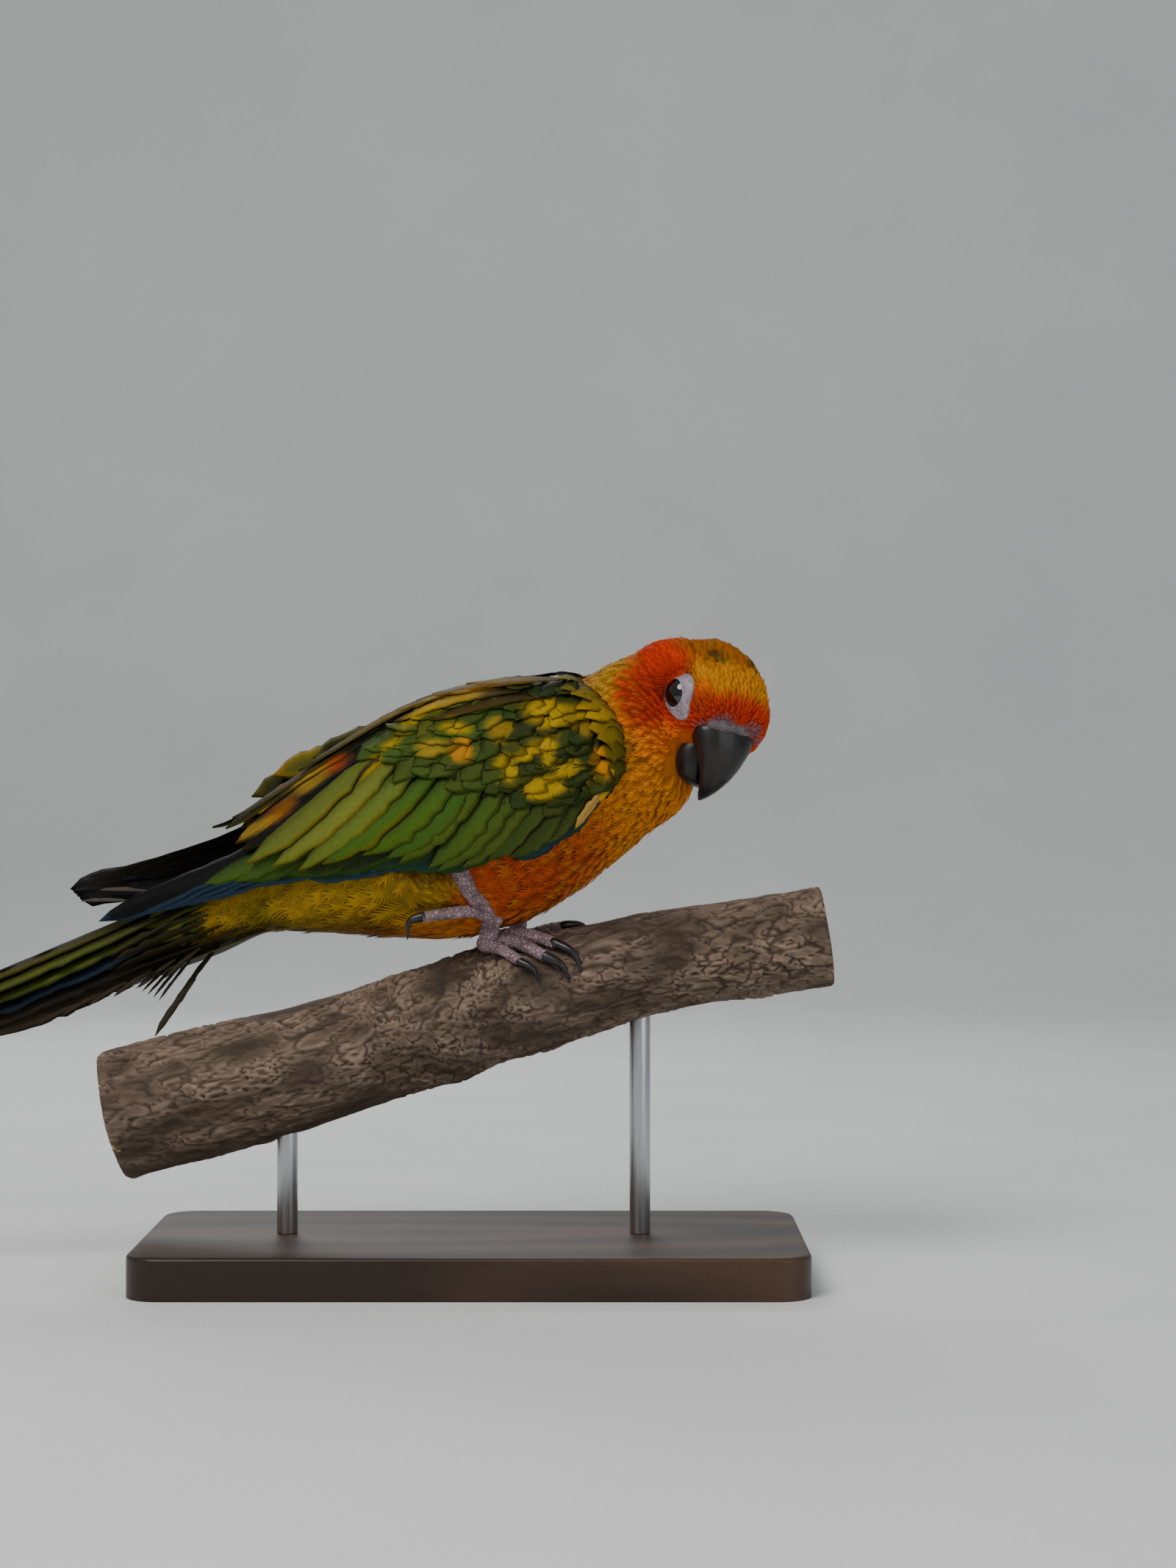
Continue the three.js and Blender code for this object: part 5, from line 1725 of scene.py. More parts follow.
@dataclass
class Tail:
    """The long graded tail: flight feathers laid as a roof, with coverts."""

    at: Pair = (-50, 109)
    seed: int = 11
    coverts: int = 5
    slope: float = 22.8
    lengths: tuple[float, ...] = (134, 122, 111, 101, 93, 84)
    width: float = 12.8
    tilt: float = 13
    spread: float = 9.0
    top: float = 8.6
    drop: float = 1.0
    tones: tuple[tuple[Tone, Tone, Tone], ...] = (
        (Tone.DARK_OLIVE, Tone.OLIVE, Tone.DARK_OLIVE),
        (Tone.DARK_OLIVE, Tone.LEAF, Tone.DUSK),
        (Tone.INK, Tone.LEAF, Tone.INK),
        (Tone.INK, Tone.PALE_BLUE, Tone.INK),
        (Tone.INK, Tone.ASH, Tone.BROWN),
        (Tone.BROWN, Tone.DUSK, Tone.DUSK),
    )
    over: tuple[Tone, Tone, Tone] = (Tone.DARK_OLIVE, Tone.LEAF, Tone.OLIVE)
    under: tuple[Tone, Tone, Tone] = (Tone.OLIVE, Tone.BROWN, Tone.BROWN)

    def lay(
        self,
        feathers: Feathers,
        along: Pair,
        height: Pair,
        side: int,
        tilt: float,
        width: float,
        inner: float,
        tones: tuple[Tone, Tone, Tone],
    ) -> None:
        """Add one tail feather.

        Args:
            feathers: The collection to add it to.
            along: Where it starts along the tail's line, and its length.
            height: Its height over the tail's line at its root, and its rise to the tip.
            side: Sign of Y.
            tilt: Its slope outwards, in degrees.
            width: Its breadth.
            inner: Its inner edge's distance from the midline.
            tones: Colours of its middle, its outer edge and its tip.
        """
        slope, angle = math.radians(self.slope), math.radians(tilt)
        back = np.array([-math.cos(slope), 0, -math.sin(slope)])
        up = np.array([back[2], 0, -back[0]])
        across = np.array([0, side * math.cos(angle), 0]) - up * math.sin(angle)
        out = np.array([0, side * math.sin(angle), 0]) + up * math.cos(angle)
        t = np.linspace(0, 1, feathers.form.rows + 1)
        start, length = along
        spine = np.outer(start + length * t, back) + np.outer(height[0] + height[1] * t, up)
        spine = spine + np.array([self.at[0], side * inner, self.at[1]])
        sway = 0.5 * side * np.sin(2.2 * t + length) * t
        spine = spine + np.outer(width / 2 + sway, across)
        grade = feathers.rng.uniform(0.85, 1.15)

        def colour(a: Array, s: Array, _: Array) -> Array:
            """Colour from across and along the feather."""
            wide = 0.2 if tones[1] in (Tone.OLIVE, Tone.LEAF, Tone.DUSK) else 0.62
            layers = (
                (Tone.INK, (1 - smooth(np.abs(a), 0.05, 0.16)) * 0.7),
                (Tone.INK, smooth(-a, -0.2, 0.6) * 0.6),
                (tones[1], smooth(a, wide, 0.85) * smooth(s, 0.05, 0.4) * 0.8),
                (Tone.INK, smooth(a, 0.86, 1.0) * 0.7),
                (tones[2], smooth(s, 0.4, 1.0) * 0.6),
            )
            return layered(tones[0].rgb * grade, layers)

        rows = (len(t), 1)
        feathers.lay(spine, np.tile(across, rows), np.tile(out, rows), width, colour)

    def build(self) -> list[Object]:
        """Make the tail feathers and the coverts over and under them."""
        rng = np.random.default_rng(self.seed)
        long = Feathers(VaneForm(rows=30, blunt=0.5, ragged=0.07), rng)
        short = Feathers(VaneForm(rows=14, ragged=0.1), rng)
        for side in (-1, 1):
            height = self.top - (self.drop * 0.5 if side > 0 else 0)
            for i, length in enumerate(self.lengths):
                tilt = self.tilt + self.spread * i
                height -= self.drop / math.cos(math.radians(tilt)) if i else 0
                inner = 0.5 if i else -3.0
                self.lay(long, (6, length - 6), (height, -0.8 * i), side, tilt, self.width, inner,
                         self.tones[i])
            nudge = 0.5 if side > 0 else 0
            for i in range(self.coverts):
                fan = 8 + 13 * i
                above, along = (8.4 - 1.7 * i - nudge, 0.8 * i - 2.4), (2.5 * i - 6, 36 - 3 * i)
                self.lay(short, along, above, side, fan, 10, i * 0.8, self.over)
                below = (1.5 * i - 12.4 + nudge, 2.2 - 0.6 * i)
                along = (2.5 * i - 4, 51 - 4 * i)
                self.lay(short, along, below, side, -fan, 10.5, i * 0.9, self.under)
        return [long.piece("tail_feathers"), short.piece("tail_coverts")]


@dataclass(frozen=True)
class EyeRing:
    """Bare ring of skin round each eye, and the lids' opening, in the head's frame."""

    centre: Triple = (5.6, 14.4, 1.7)
    opening: Triple = (4.6, 15.3, 0.8)
    facing: Triple = (0.36, 0.92, 0.08)
    slant: float = -43
    ring: Pair = (6.0, 4.9)
    lids: Pair = (4.25, 3.15)
    tail: float = 2.4
    tail_at: float = -28

    def oval(self, size: Pair, angle: Array) -> Array:
        """Radius of a slanting oval at angles from forward, upwards."""
        turn = angle - math.radians(self.slant)
        return 1 / np.hypot(np.cos(turn) / size[0], np.sin(turn) / size[1])

    def reach(self, angle: Array) -> Array:
        """Outer radius of the bare skin at angles from forward, upwards."""
        toward = np.clip(np.cos(angle - math.radians(self.tail_at)), 0, 1)
        return self.oval(self.ring, angle) + self.tail * toward**8

    def frame(self, side: int) -> tuple[Array, Array, Array, Array]:
        """Centre of the ring, forward, upward and outward, in the head's frame."""
        mirror = np.array([1, side, 1])
        out = unit(np.array(self.facing) * mirror)
        fore = unit(np.array([1.0, 0.0, 0.0]) - out * out[0])
        up = np.cross(fore, out)
        return np.array(self.centre) * mirror, fore, up * np.sign(up[2]), out

    def beyond(self, local: Array, side: int) -> Array:
        """Distance of places in the head's frame from the bare skin's border."""
        centre, fore, up, out = self.frame(side)
        away = local - centre
        across, rise = away @ fore, away @ up
        far = np.hypot(across, rise) - self.reach(np.arctan2(rise, across))
        return np.where(away @ out > -6, far, 99.0)


EYE_RING = EyeRing()


@dataclass
class Eye:
    """An eye with its ball, and the bare ring with lids."""

    side: Side
    radius: float = 6.2
    depth: float = 4.9
    pupil: float = 0.5
    profile: tuple[Pair, ...] = (
        (-0.16, -1.6), (-0.07, -0.3), (-0.01, 0.18), (0.06, 0.42), (0.15, 0.36), (0.23, 0.06),
        (0.33, 0.26), (0.44, 0.1), (0.55, 0.22), (0.67, 0.02), (0.79, 0.14), (0.91, 0.04),
        (1.0, -0.25), (1.07, -1.5), (0.4, -2.8),
    )

    def build(self, finishes: Looks) -> None:
        """Make the ball and the ring."""
        name = self.side.name.lower()
        _, fore, up, out = EYE_RING.frame(self.side.value)
        mirror = np.array([1, self.side.value, 1])
        ball_at = np.array(EYE_RING.opening) * mirror - out * self.depth
        mesh = bmesh.new()
        turn = np.stack([fore, up, out], -1)
        add_ball(mesh, 40, 28, lambda co: HEAD.outward(ball_at + turn @ (co * self.radius)))
        bmesh.ops.recalc_face_normals(mesh, faces=mesh.faces)
        centre, axis = HEAD.outward(ball_at) * MM, HEAD.turned(out)
        for face in mesh.faces:
            away = np.array(face.calc_center_median()) - centre
            off = np.linalg.norm(away - axis * (away @ axis)) / (self.radius * MM)
            face.material_index = int(self.pupil < off and away @ axis > 0)
        ball = finish_mesh(mesh, f"eyeball_{name}")
        settle(ball, finishes["pupil"], "eye", f"eye_{name}")
        ball.data.materials.append(finishes["iris"])
        self.build_ring(name, ball_at, finishes["eye_skin"])

    def build_ring(self, name: str, ball_at: Array, material: Material) -> None:
        """Make the ring as folds laid on the head's surface and the ball."""
        centre, fore, up, out = EYE_RING.frame(self.side.value)
        opening = np.array(EYE_RING.opening) * np.array([1, self.side.value, 1])
        angle = circle(80)
        rng = np.random.default_rng(5)
        spokes = np.outer(np.cos(angle), fore) + np.outer(np.sin(angle), up)
        inner = opening + spokes * EYE_RING.oval(EYE_RING.lids, angle)[:, None]
        outer = centre + spokes * EYE_RING.reach(angle)[:, None]
        band = np.clip(norm(outer - inner) / 3.0, 0.35, 1)
        rings = []
        for share, rise in self.profile:
            flat = inner + (outer - inner) * share
            flat = flat - np.outer((flat - centre) @ out, out)
            level = np.zeros(len(angle))
            for _ in range(8):
                place = flat + level[:, None] * out
                direction = unit(place)
                gap = HEAD.radius(direction) - norm(place)
                level = level + gap / np.maximum(direction @ out, 0.3)
            away = flat - ball_at
            side_step = norm(away - np.outer(away @ out, out))
            ball = np.sqrt(np.maximum(self.radius**2 - side_step**2, 0)) + (ball_at - centre) @ out
            ball = np.where(side_step < self.radius, ball, -9)
            wrinkle = 0.05 * rng.normal(0, 1, len(angle)) * (0.0 < share < 1.0)
            height = np.maximum(level, ball) + rise * band + wrinkle
            rings.append(HEAD.outward(flat + height[:, None] * out))
        mesh = bmesh.new()
        from_rings(mesh, rings)
        open_ends(mesh)
        bmesh.ops.bridge_loops(mesh, edges=[edge for edge in mesh.edges if edge.is_boundary])
        bmesh.ops.recalc_face_normals(mesh, faces=mesh.faces)
        settle(refined(mesh, f"eye_ring_{name}"), material, "eye")


@dataclass
class Bill:
    """Hooked upper bill, lower bill and the swollen cere with its nostrils."""

    cere_at: Triple = (16.4, -1.5, 1.0)
    cere_size: Triple = (3.0, 7.4, 3.7)
    cere_tilt: float = 38
    cleft: float = 0.12
    nostril: Triple = (18.4, 3.2, 3.0)
    collar_at: float = 0.1
    collar: tuple[float, ...] = (0.5, 1.2, 1.7, 2.1, 2.1, 2.1, 1.7, 1.2, 0.5)

    def build(self, finishes: Looks) -> None:
        """Make the two parts of the bill and the cere."""
        halves = (("bill_upper", UPPER_BILL, 30), ("bill_lower", LOWER_BILL, 16))
        for name, outline, steps in halves:
            rings = outline.rings(steps, 36, 0.0, 0.86)
            shaped = [self.shaped(name, ring, i / steps) for i, ring in enumerate(rings)]
            mesh = bmesh.new()
            from_rings(mesh, [HEAD.outward(ring) for ring in shaped])
            settle(refined(mesh, name), finishes["bill"], "bill", name)
        self.build_cere(finishes["cere"])

    def shaped(self, name: str, ring: Array, t: float) -> Array:
        """Give a ring of the bill its ridge, its cutting edge and growth steps."""
        centre = ring.mean(0)
        away = ring - centre
        angle = np.arctan2(away[:, 2], away[:, 1])
        keel = 1 + 0.05 * np.exp(-(((angle - math.pi / 2) / 0.35) ** 2))
        growth = 1 + 0.008 * math.sin(46 * t) + 0.012 * np.sin(9 * angle) * (1 - t)
        notch = 0.0
        if name == "bill_upper":
            low = smooth(-np.sin(angle), 0.2, 0.9)
            notch = 0.09 * low * math.exp(-(((t - 0.5) / 0.07) ** 2))
        if name == "bill_lower":
            narrow = 1 - 0.28 * smooth(np.sin(angle), -0.1, 0.9)
            away = away * np.stack([growth, narrow, growth], -1)
        return centre + away * (keel * growth * (1 - notch))[:, None] + [0, BILL_ASIDE, 0]

    def build_cere(self, material: Material) -> None:
        """Make the cere with a nostril on each side, and the skin round the bill's base."""
        mesh = bmesh.new()
        arch = UPPER_BILL.rings(20, 36, 0.2, 0.86)[int(20 * self.collar_at)]
        around = np.arange(-3, 22) % 36
        from_rings(mesh, tube_rings(arch[around], self.collar, 48, 14, (1.0, 0.0, 0.3)))
        add_ball(mesh, 48, 32, self.swelling)
        for vert in mesh.verts:
            local = np.array(vert.co) / MM
            for side in (-1, 1):
                hole = np.array([self.nostril[0], side * self.nostril[1], self.nostril[2]])
                far = np.linalg.norm(local - hole)
                inward = unit(np.array(self.cere_at) - local)
                local = local + inward * (1.6 * math.exp(-((far / 0.9) ** 2)))
                local = local - inward * (0.35 * math.exp(-(((far - 1.5) / 0.5) ** 2)))
            vert.co = Vector(HEAD.outward(local)) * MM
        bmesh.ops.recalc_face_normals(mesh, faces=mesh.faces)
        settle(refined(mesh, "cere"), material, "bill")

    def swelling(self, co: Array) -> Array:
        """Move a place on a unit sphere to the cere, which is cleft along its middle."""
        tilt = np.array(Matrix.Rotation(math.radians(self.cere_tilt), 3, "Y"))
        cleft = 1 - self.cleft * math.exp(-((co[1] / 0.16) ** 2))
        return tilt @ (co * np.array(self.cere_size) * cleft) + np.array(self.cere_at)


@dataclass(frozen=True)
class Branch:
    """The perch: a cut length of branch along its axis in X and Z."""

    rows: tuple[Triple, ...] = (
        (-86, 46, 18.4), (-50, 54.6, 17.8), (-12.8, 66, 16.8), (8.5, 73, 16.3),
        (29.8, 79.8, 16.6), (61.7, 88.4, 14.6), (93.6, 94.2, 13.8), (120, 98.2, 14.2),
    )
    knots: tuple[Five, ...] = (
        (0.7, 70, 2.2, 9, 34), (0.16, -40, 1.8, 8, 30), (0.44, 150, 2, 10, 40),
    )
    tones: tuple[str, str, str] = ("2b211b", "6b5a4c", "a08a78")
    length: float = 206
    steps: int = 400
    sides: int = 180

    def axis(self, t: Array) -> Array:
        """Places on the branch's axis at t from 0 to 1."""
        points = np.array([(x, 0.0, z) for x, z, _ in self.rows])
        padded = np.vstack([2 * points[0] - points[1], points, 2 * points[-1] - points[-2]])
        last = len(points) - 1
        place = np.clip(t, 0, 1) * last
        i = np.minimum(place.astype(int), last - 1)
        f = (place - i)[:, None]
        p0, p1, p2, p3 = (padded[i + k] for k in range(4))
        pairs = ((p0, p1), (p1, p2), (p2, p3))
        d0, d1, d2 = (norm(b - a)[:, None] ** 0.5 for a, b in pairs)
        m1 = ((p1 - p0) / d0 - (p2 - p0) / (d0 + d1) + (p2 - p1) / d1) * d1
        m2 = ((p2 - p1) / d1 - (p3 - p1) / (d1 + d2) + (p3 - p2) / d2) * d1
        return p1 + m1 * f + (3 * (p2 - p1) - 2 * m1 - m2) * f**2 + (2 * (p1 - p2) + m1 + m2) * f**3

    def at(self, t: Array) -> tuple[Array, Array, Array]:
        """Axis, upward direction and radius of the branch at t."""
        along = unit(self.axis(np.minimum(t + 1e-3, 1)) - self.axis(np.maximum(t - 1e-3, 0)))
        up = np.stack([-along[:, 2], along[:, 0] * 0, along[:, 0]], -1)
        return self.axis(t), up, through([row[2] for row in self.rows], t)[:, 0]

    def on(self, x: float, angle: float, lift: float) -> Array:
        """Place on the branch above x, at an angle from its top to the bird's right."""
        t = np.linspace(0, 1, 4001)
        near = np.array([t[int(np.argmin(np.abs(self.axis(t)[:, 0] - x)))]])
        centre, up, radius = self.at(near)
        out = radius[0] + lift
        turn = math.radians(angle)
        return centre[0] + up[0] * out * math.cos(turn) - np.array([0, out * math.sin(turn), 0])

    def surface(self, t: float, angle: Array, radius: float) -> Array:
        """Radius of the bark with its knots, ridges, grooves and flakes."""
        degrees = np.degrees(angle)
        out = np.full(len(angle), radius)
        for along, around, rise, length, spread in self.knots:
            far = (t - along) * self.length / length
            turn = (degrees - around + 180) % 360 - 180
            out = out + rise * np.exp(-far * far - (turn / spread) ** 2)
        ridges = np.sin(angle * 5 + 11 * t + 0.6 * math.sin(9 * t)) * math.sin(7 * t + 1)
        return out + 0.5 * ridges

    def flakes(self, t: float, angle: Array, radius: float) -> tuple[Array, Array]:
        """Relief of the bark's flakes and its colour, with painted light and shade that follow the
        relief, at one place along the branch.
        """
        x = t * self.length
        relief, tints = [], []
        dark, mid, pale = (linear(tone) for tone in self.tones)
        for turn in angle:
            c, s = math.cos(turn) * radius, math.sin(turn) * radius
            warp = noise.fractal(Vector((x * 0.06, c * 0.12, s * 0.12)), 1.0, 2.0, 3)
            cell = Vector((x * 0.1 + warp * 0.9, c * 0.4 + warp * 1.5, s * 0.4 - warp * 1.5))
            near = noise.voronoi(cell)[0]
            edge = near[1] - near[0]
            swell = noise.fractal(Vector((x * 0.03, c * 0.06, s * 0.06)), 1.0, 2.0, 4)
            rough = min(max(0.62 + 0.9 * swell + 0.35 * s / radius, 0.15), 1.0)
            crack = (1 - min(edge / 0.14, 1.0)) * rough
            lip = max(math.exp(-(((edge - 0.22) / 0.1) ** 2)) * (0.45 + 1.2 * warp), 0) * rough
            fold = math.sin(x * 0.55 + c * 1.1 + s * 1.1 + 7 * warp) * 0.16 * rough
            relief.append(0.3 - 0.7 * crack + 0.45 * lip + 0.5 * swell + fold)
            # The colour follows the relief: it brightens with the swells and folds as painted
            # light, and darkens in the cracks and pales on the lips partly as the bark's own
            # colours, partly as painted shade and light.
            shade = mid * (0.9 + 0.4 * swell + 0.35 * warp + 0.8 * fold)
            shade = shade + (pale - shade) * min(lip, 1) * 0.7
            tints.append(shade + (dark - shade) * crack * 0.8)
        return np.array(relief), np.array(tints)

    def build(self, bark: Material, cuts: Sequence[Material]) -> None:
        """Make the bark and the two cut ends."""
        t = np.linspace(0, 1, self.steps + 1)
        centre, up, radius = self.at(t)
        angle = circle(self.sides)
        rings, tints = [], []
        for i in range(self.steps + 1):
            relief, tint = self.flakes(float(t[i]), angle, float(radius[i]))
            out = self.surface(float(t[i]), angle, float(radius[i])) + relief
            rim = min(t[i], 1 - t[i]) * self.length
            out = out - 0.7 * math.exp(-((rim / 0.6) ** 2))
            ring = centre[i] + np.outer(out * np.cos(angle), up[i])
            ring[:, 1] -= out * np.sin(angle)
            rings.append(ring)
            tints.append(tint)
        mesh = bmesh.new()
        layer = mesh.verts.layers.float_color.new(TINT)
        for vert, tint in zip(from_rings(mesh, rings), np.concatenate(tints)):
            vert[layer] = (*np.clip(tint, 0, 1), 1.0)
        open_ends(mesh)
        settle(finish_mesh(mesh, "bark"), bark, "bark", "perch")
        for name, k in (("cut_end_tail", 0), ("cut_end_head", -1)):
            self.build_end(name, rings[k], rings[1 if k == 0 else -2], cuts[k])

    def build_end(
        self, name: str, ring: Array, behind: Array, material: Material
    ) -> None:
        """Make one cut end with a sawn face."""
        centre = ring.mean(0)
        outward = unit(centre - behind.mean(0))
        mesh = bmesh.new()
        from_rings(mesh, [behind - outward * 1.5, ring])
        settle(finish_mesh(mesh, name, False), material, "bark")


BRANCH = Branch()


@dataclass(frozen=True)
class Toe:
    """A toe by places on the branch, or in the air, with its claw."""

    name: str
    radius: float
    path: tuple[tuple[float, ...], ...]
    claw: tuple[tuple[float, ...], ...]

    def axis(self, side: int) -> list[Array]:
        """Places along the toe."""
        if len(self.path[0]) == 3:
            return [np.array([x, side * y, z]) for x, y, z in self.path]
        return [BRANCH.on(x, angle, self.radius + 0.8) for x, angle in self.path]

    def claw_axis(self, side: int) -> list[Array]:
        """Places along the claw, from inside the toe's end."""
        axis = self.axis(side)
        ahead = unit(axis[-1] - axis[-2])
        if len(self.path[0]) == 3:
            rest = [np.array([x, side * y, z]) for x, y, z in self.claw]
        else:
            rest = [BRANCH.on(*self.claw[0], 2.9), BRANCH.on(*self.claw[1], 0.9)]
        return [axis[-1] - ahead * 1.2, axis[-1] + ahead * 0.8, *rest]


def tube_rings(
    points: Sequence[Array], radii: Sequence[float], steps: int, sides: int, up: Triple,
    scutes: int = 0,
) -> list[Array]:
    """Work out the rings of a tube through points.

    Args:
        points: Places to pass through.
        radii: Evenly spaced radii along it.
        steps: Number of spans along it.
        sides: Points in each ring.
        up: Direction that the first point of each ring faces.
        scutes: Number of overlapping scutes that it swells into, if any.

    Returns:
        One array of points for each ring.
    """
    t = np.linspace(0, 1, steps + 1)
    centre = through(points, t)
    ahead = unit(np.gradient(centre, axis=0))
    sizes = through(radii, t)[:, 0]
    if scutes:
        phase = (t * scutes) % 1.0
        lip = 0.14 * phase**0.6 * (1 - smooth(phase, 0.84, 1.0))
        sizes = sizes * (0.93 + lip + 0.06 * np.sin(t * 9.5) ** 2)
    angle = circle(sides)
    rings = []
    for i in range(steps + 1):
        side = unit(np.cross(ahead[i], up))
        top = np.cross(side, ahead[i])
        ring = np.outer(np.cos(angle), top) + np.outer(np.sin(angle), side)
        rings.append(centre[i] + sizes[i] * ring)
    return rings


@dataclass
class Leg:
    """A leg: feathered thigh, scaled shank and four toes, two of them turned back."""

    side: Side
    thigh: tuple[Triple, ...]
    ankle: tuple[Triple, ...]
    palm: Pair
    toes: tuple[Toe, ...]
    thigh_radius: Triple = (10.5, 8.6, 3.6)
    shank_radius: tuple[float, ...] = (2.9, 2.3, 2.3, 2.8)
    palm_size: Triple = (3.3, 3.1, 2.7)
    palm_height: float = 2.6
    scute: float = 1.25
    taper: Pair = (1.12, 0.32)

    def sided(self, rows: Sequence[Sequence[float]]) -> list[Array]:
        """Places with their Y on this leg's side."""
        return [np.array([x, self.side.value * y, z]) for x, y, z in rows]

    def thigh_rings(self, grow: float) -> list[Array]:
        """Rings of the thigh's form."""
        radii = np.array(self.thigh_radius) + grow
        return tube_rings(self.sided(self.thigh), radii, 12, 20, UPWARD)

    def thigh_axis(self) -> Array:
        """Direction of the thigh from body to ankle."""
        rows = self.sided(self.thigh)
        return unit(rows[-1] - rows[0] + np.array([0.0, 0.0, -6.0]))

    def thigh_share(self, places: Array) -> Array:
        """Say how near places are to the thigh, from 0 to 1."""
        rows = self.sided(self.thigh)
        far = np.min([norm(places - row) for row in rows[1:]], axis=0)
        return 1 - smooth(far, 8.0, 11.0)

    def build(self, finishes: Looks) -> None:
        """Make the foot and its claws."""
        name = self.side.name.lower()
        palm = BRANCH.on(*self.palm, self.palm_height)
        mesh = bmesh.new()
        shank = [*self.sided(self.ankle), palm]
        outward = (0, -self.side.value, 0.2)
        from_rings(mesh, tube_rings(shank, self.shank_radius, 66, 20, outward, 11))
        add_ball(mesh, 24, 16, lambda co: palm + co * np.array(self.palm_size))
        for toe in self.toes:
            axis = toe.axis(self.side.value)
            thick, thinner = self.taper
            sizes = [toe.radius * (thick - thinner * i / (len(axis) - 1)) for i in range(len(axis))]
            middle = [*axis, axis[-1] + unit(axis[-1] - axis[-2]) * 0.9]
            sizes = [*sizes, sizes[-1] * 0.7]
            count = int(sum(np.linalg.norm(b - a) for a, b in zip(axis, axis[1:])) / self.scute)
            from_rings(mesh, tube_rings(middle, sizes, 64, 18, UPWARD, count))
        foot = finish_mesh(mesh, f"foot_scaled_{name}")
        settle(foot, finishes["foot"], "foot_skin", f"foot_{name}")
        for toe in self.toes:
            self.build_claw(toe, name, finishes["claw"])

    def build_claw(self, toe: Toe, name: str, material: Material) -> None:
        """Make one curved, tapering claw."""
        base = toe.radius * 0.82
        sizes = (base * 0.9, base, base * 0.62, 0.16)
        mesh = bmesh.new()
        from_rings(mesh, tube_rings(toe.claw_axis(self.side.value), sizes, 22, 16, UPWARD))
        piece = refined(mesh, f"claw_horn_{name}_{toe.name}")
        settle(piece, material, "claw", f"claw_{name}_{toe.name}")


LEGS = (
    Leg(
        Side.RIGHT,
        ((-4, 13, 119), (7, 16.4, 115.6), (15.4, 19, 114.4)),
        ((14.6, 22.6, 118.4), (17.6, 21.0, 111.8), (22.8, 13.4, 104.8)),
        (27.4, 22),
        (
            Toe("1", 1.7, ((27.4, 24), (31, 38), (34.6, 55)), ((37.6, 66), (38, 79))),
            Toe("2", 2.0, ((28, 20), (35, 34), (41.6, 57)), ((45.4, 70), (46, 86))),
            Toe("3", 2.0, ((28.6, 16), (37, 22), (45, 46)), ((49.4, 62), (49.8, 84))),
            Toe("4", 1.8,
                ((25.4, 10.6, 103), (19, 17, 105.8), (11.4, 21.4, 105.4), (4.8, 23, 104.6)),
                ((0.6, 23.4, 103), (0.2, 23.4, 98))),
        ),
    ),
    Leg(
        Side.LEFT,
        ((0, 13, 119), (11, 16.4, 115.6), (19.6, 19, 114.6)),
        ((20.4, 19.4, 115), (25, 20, 110.6), (30, 17.6, 104)),
        (34, -40),
        (
            Toe("1", 1.7, ((33, -42), (26, -34), (21, -38)), ((17.6, -46), (16.8, -56))),
            Toe("2", 1.9, ((34.6, -38), (41, -30), (48, -28)), ((53, -36), (54.5, -48))),
            Toe("3", 2.0, ((34.8, -42), (42, -48), (50, -62)), ((53.5, -74), (54, -88))),
            Toe("4", 1.9, ((33, -44), (24, -52), (16, -66)), ((12, -78), (11.4, -92))),
        ),
    ),
)


@dataclass
class Stand:
    """Plain display stand: a flat wooden base and two short rods."""

    length: float = 190
    width: float = 92
    height: float = 12
    centre: float = 18
    corner: float = 10
    edge: float = 1.2
    rod: float = 3
    rod_edge: float = 0.3
    rod_below: float = 14
    places: Pair = (-36, 66)

    def build(self, finishes: Looks) -> None:
        """Make the base and the rods."""
        mesh = bmesh.new()
        bmesh.ops.create_cube(mesh, size=1.0)
        size = Vector((self.length, self.width, self.height)) * MM
        middle = Vector((self.centre, 0, self.height / 2)) * MM
        bmesh.ops.scale(mesh, vec=size, verts=mesh.verts)
        bmesh.ops.translate(mesh, vec=middle, verts=mesh.verts)
        upright = [edge for edge in mesh.edges if rise(edge) > 0.001]
        round_edges(mesh, upright, self.corner, 10)
        level = (self.height - 0.01) * MM
        rim = [edge for edge in mesh.edges if min(v.co.z for v in edge.verts) > level]
        round_edges(mesh, rim, self.edge, 4)
        base = finish_mesh(mesh, "base_board", shade_smooth=False)
        settle(base, finishes["base"], "stand_wood", "stand_base")
        for i, x in enumerate(self.places):
            top = float(BRANCH.on(x, 0, 0)[2]) - self.rod_below
            low = self.height
            rod = bmesh.new()
            bmesh.ops.create_cone(rod, cap_ends=True, segments=40, radius1=self.rod * MM,
                                  radius2=self.rod * MM, depth=(top - low) * MM)
            bmesh.ops.translate(rod, vec=Vector((x, 0, (top + low) / 2)) * MM, verts=rod.verts)
            ends = [edge for edge in rod.edges if rise(edge) < 1e-6]
            round_edges(rod, ends, self.rod_edge, 2)
            piece = finish_mesh(rod, f"rod_{i + 1}")
            settle(piece, finishes["steel"], "stand_metal", f"stand_rod_{i + 1}")


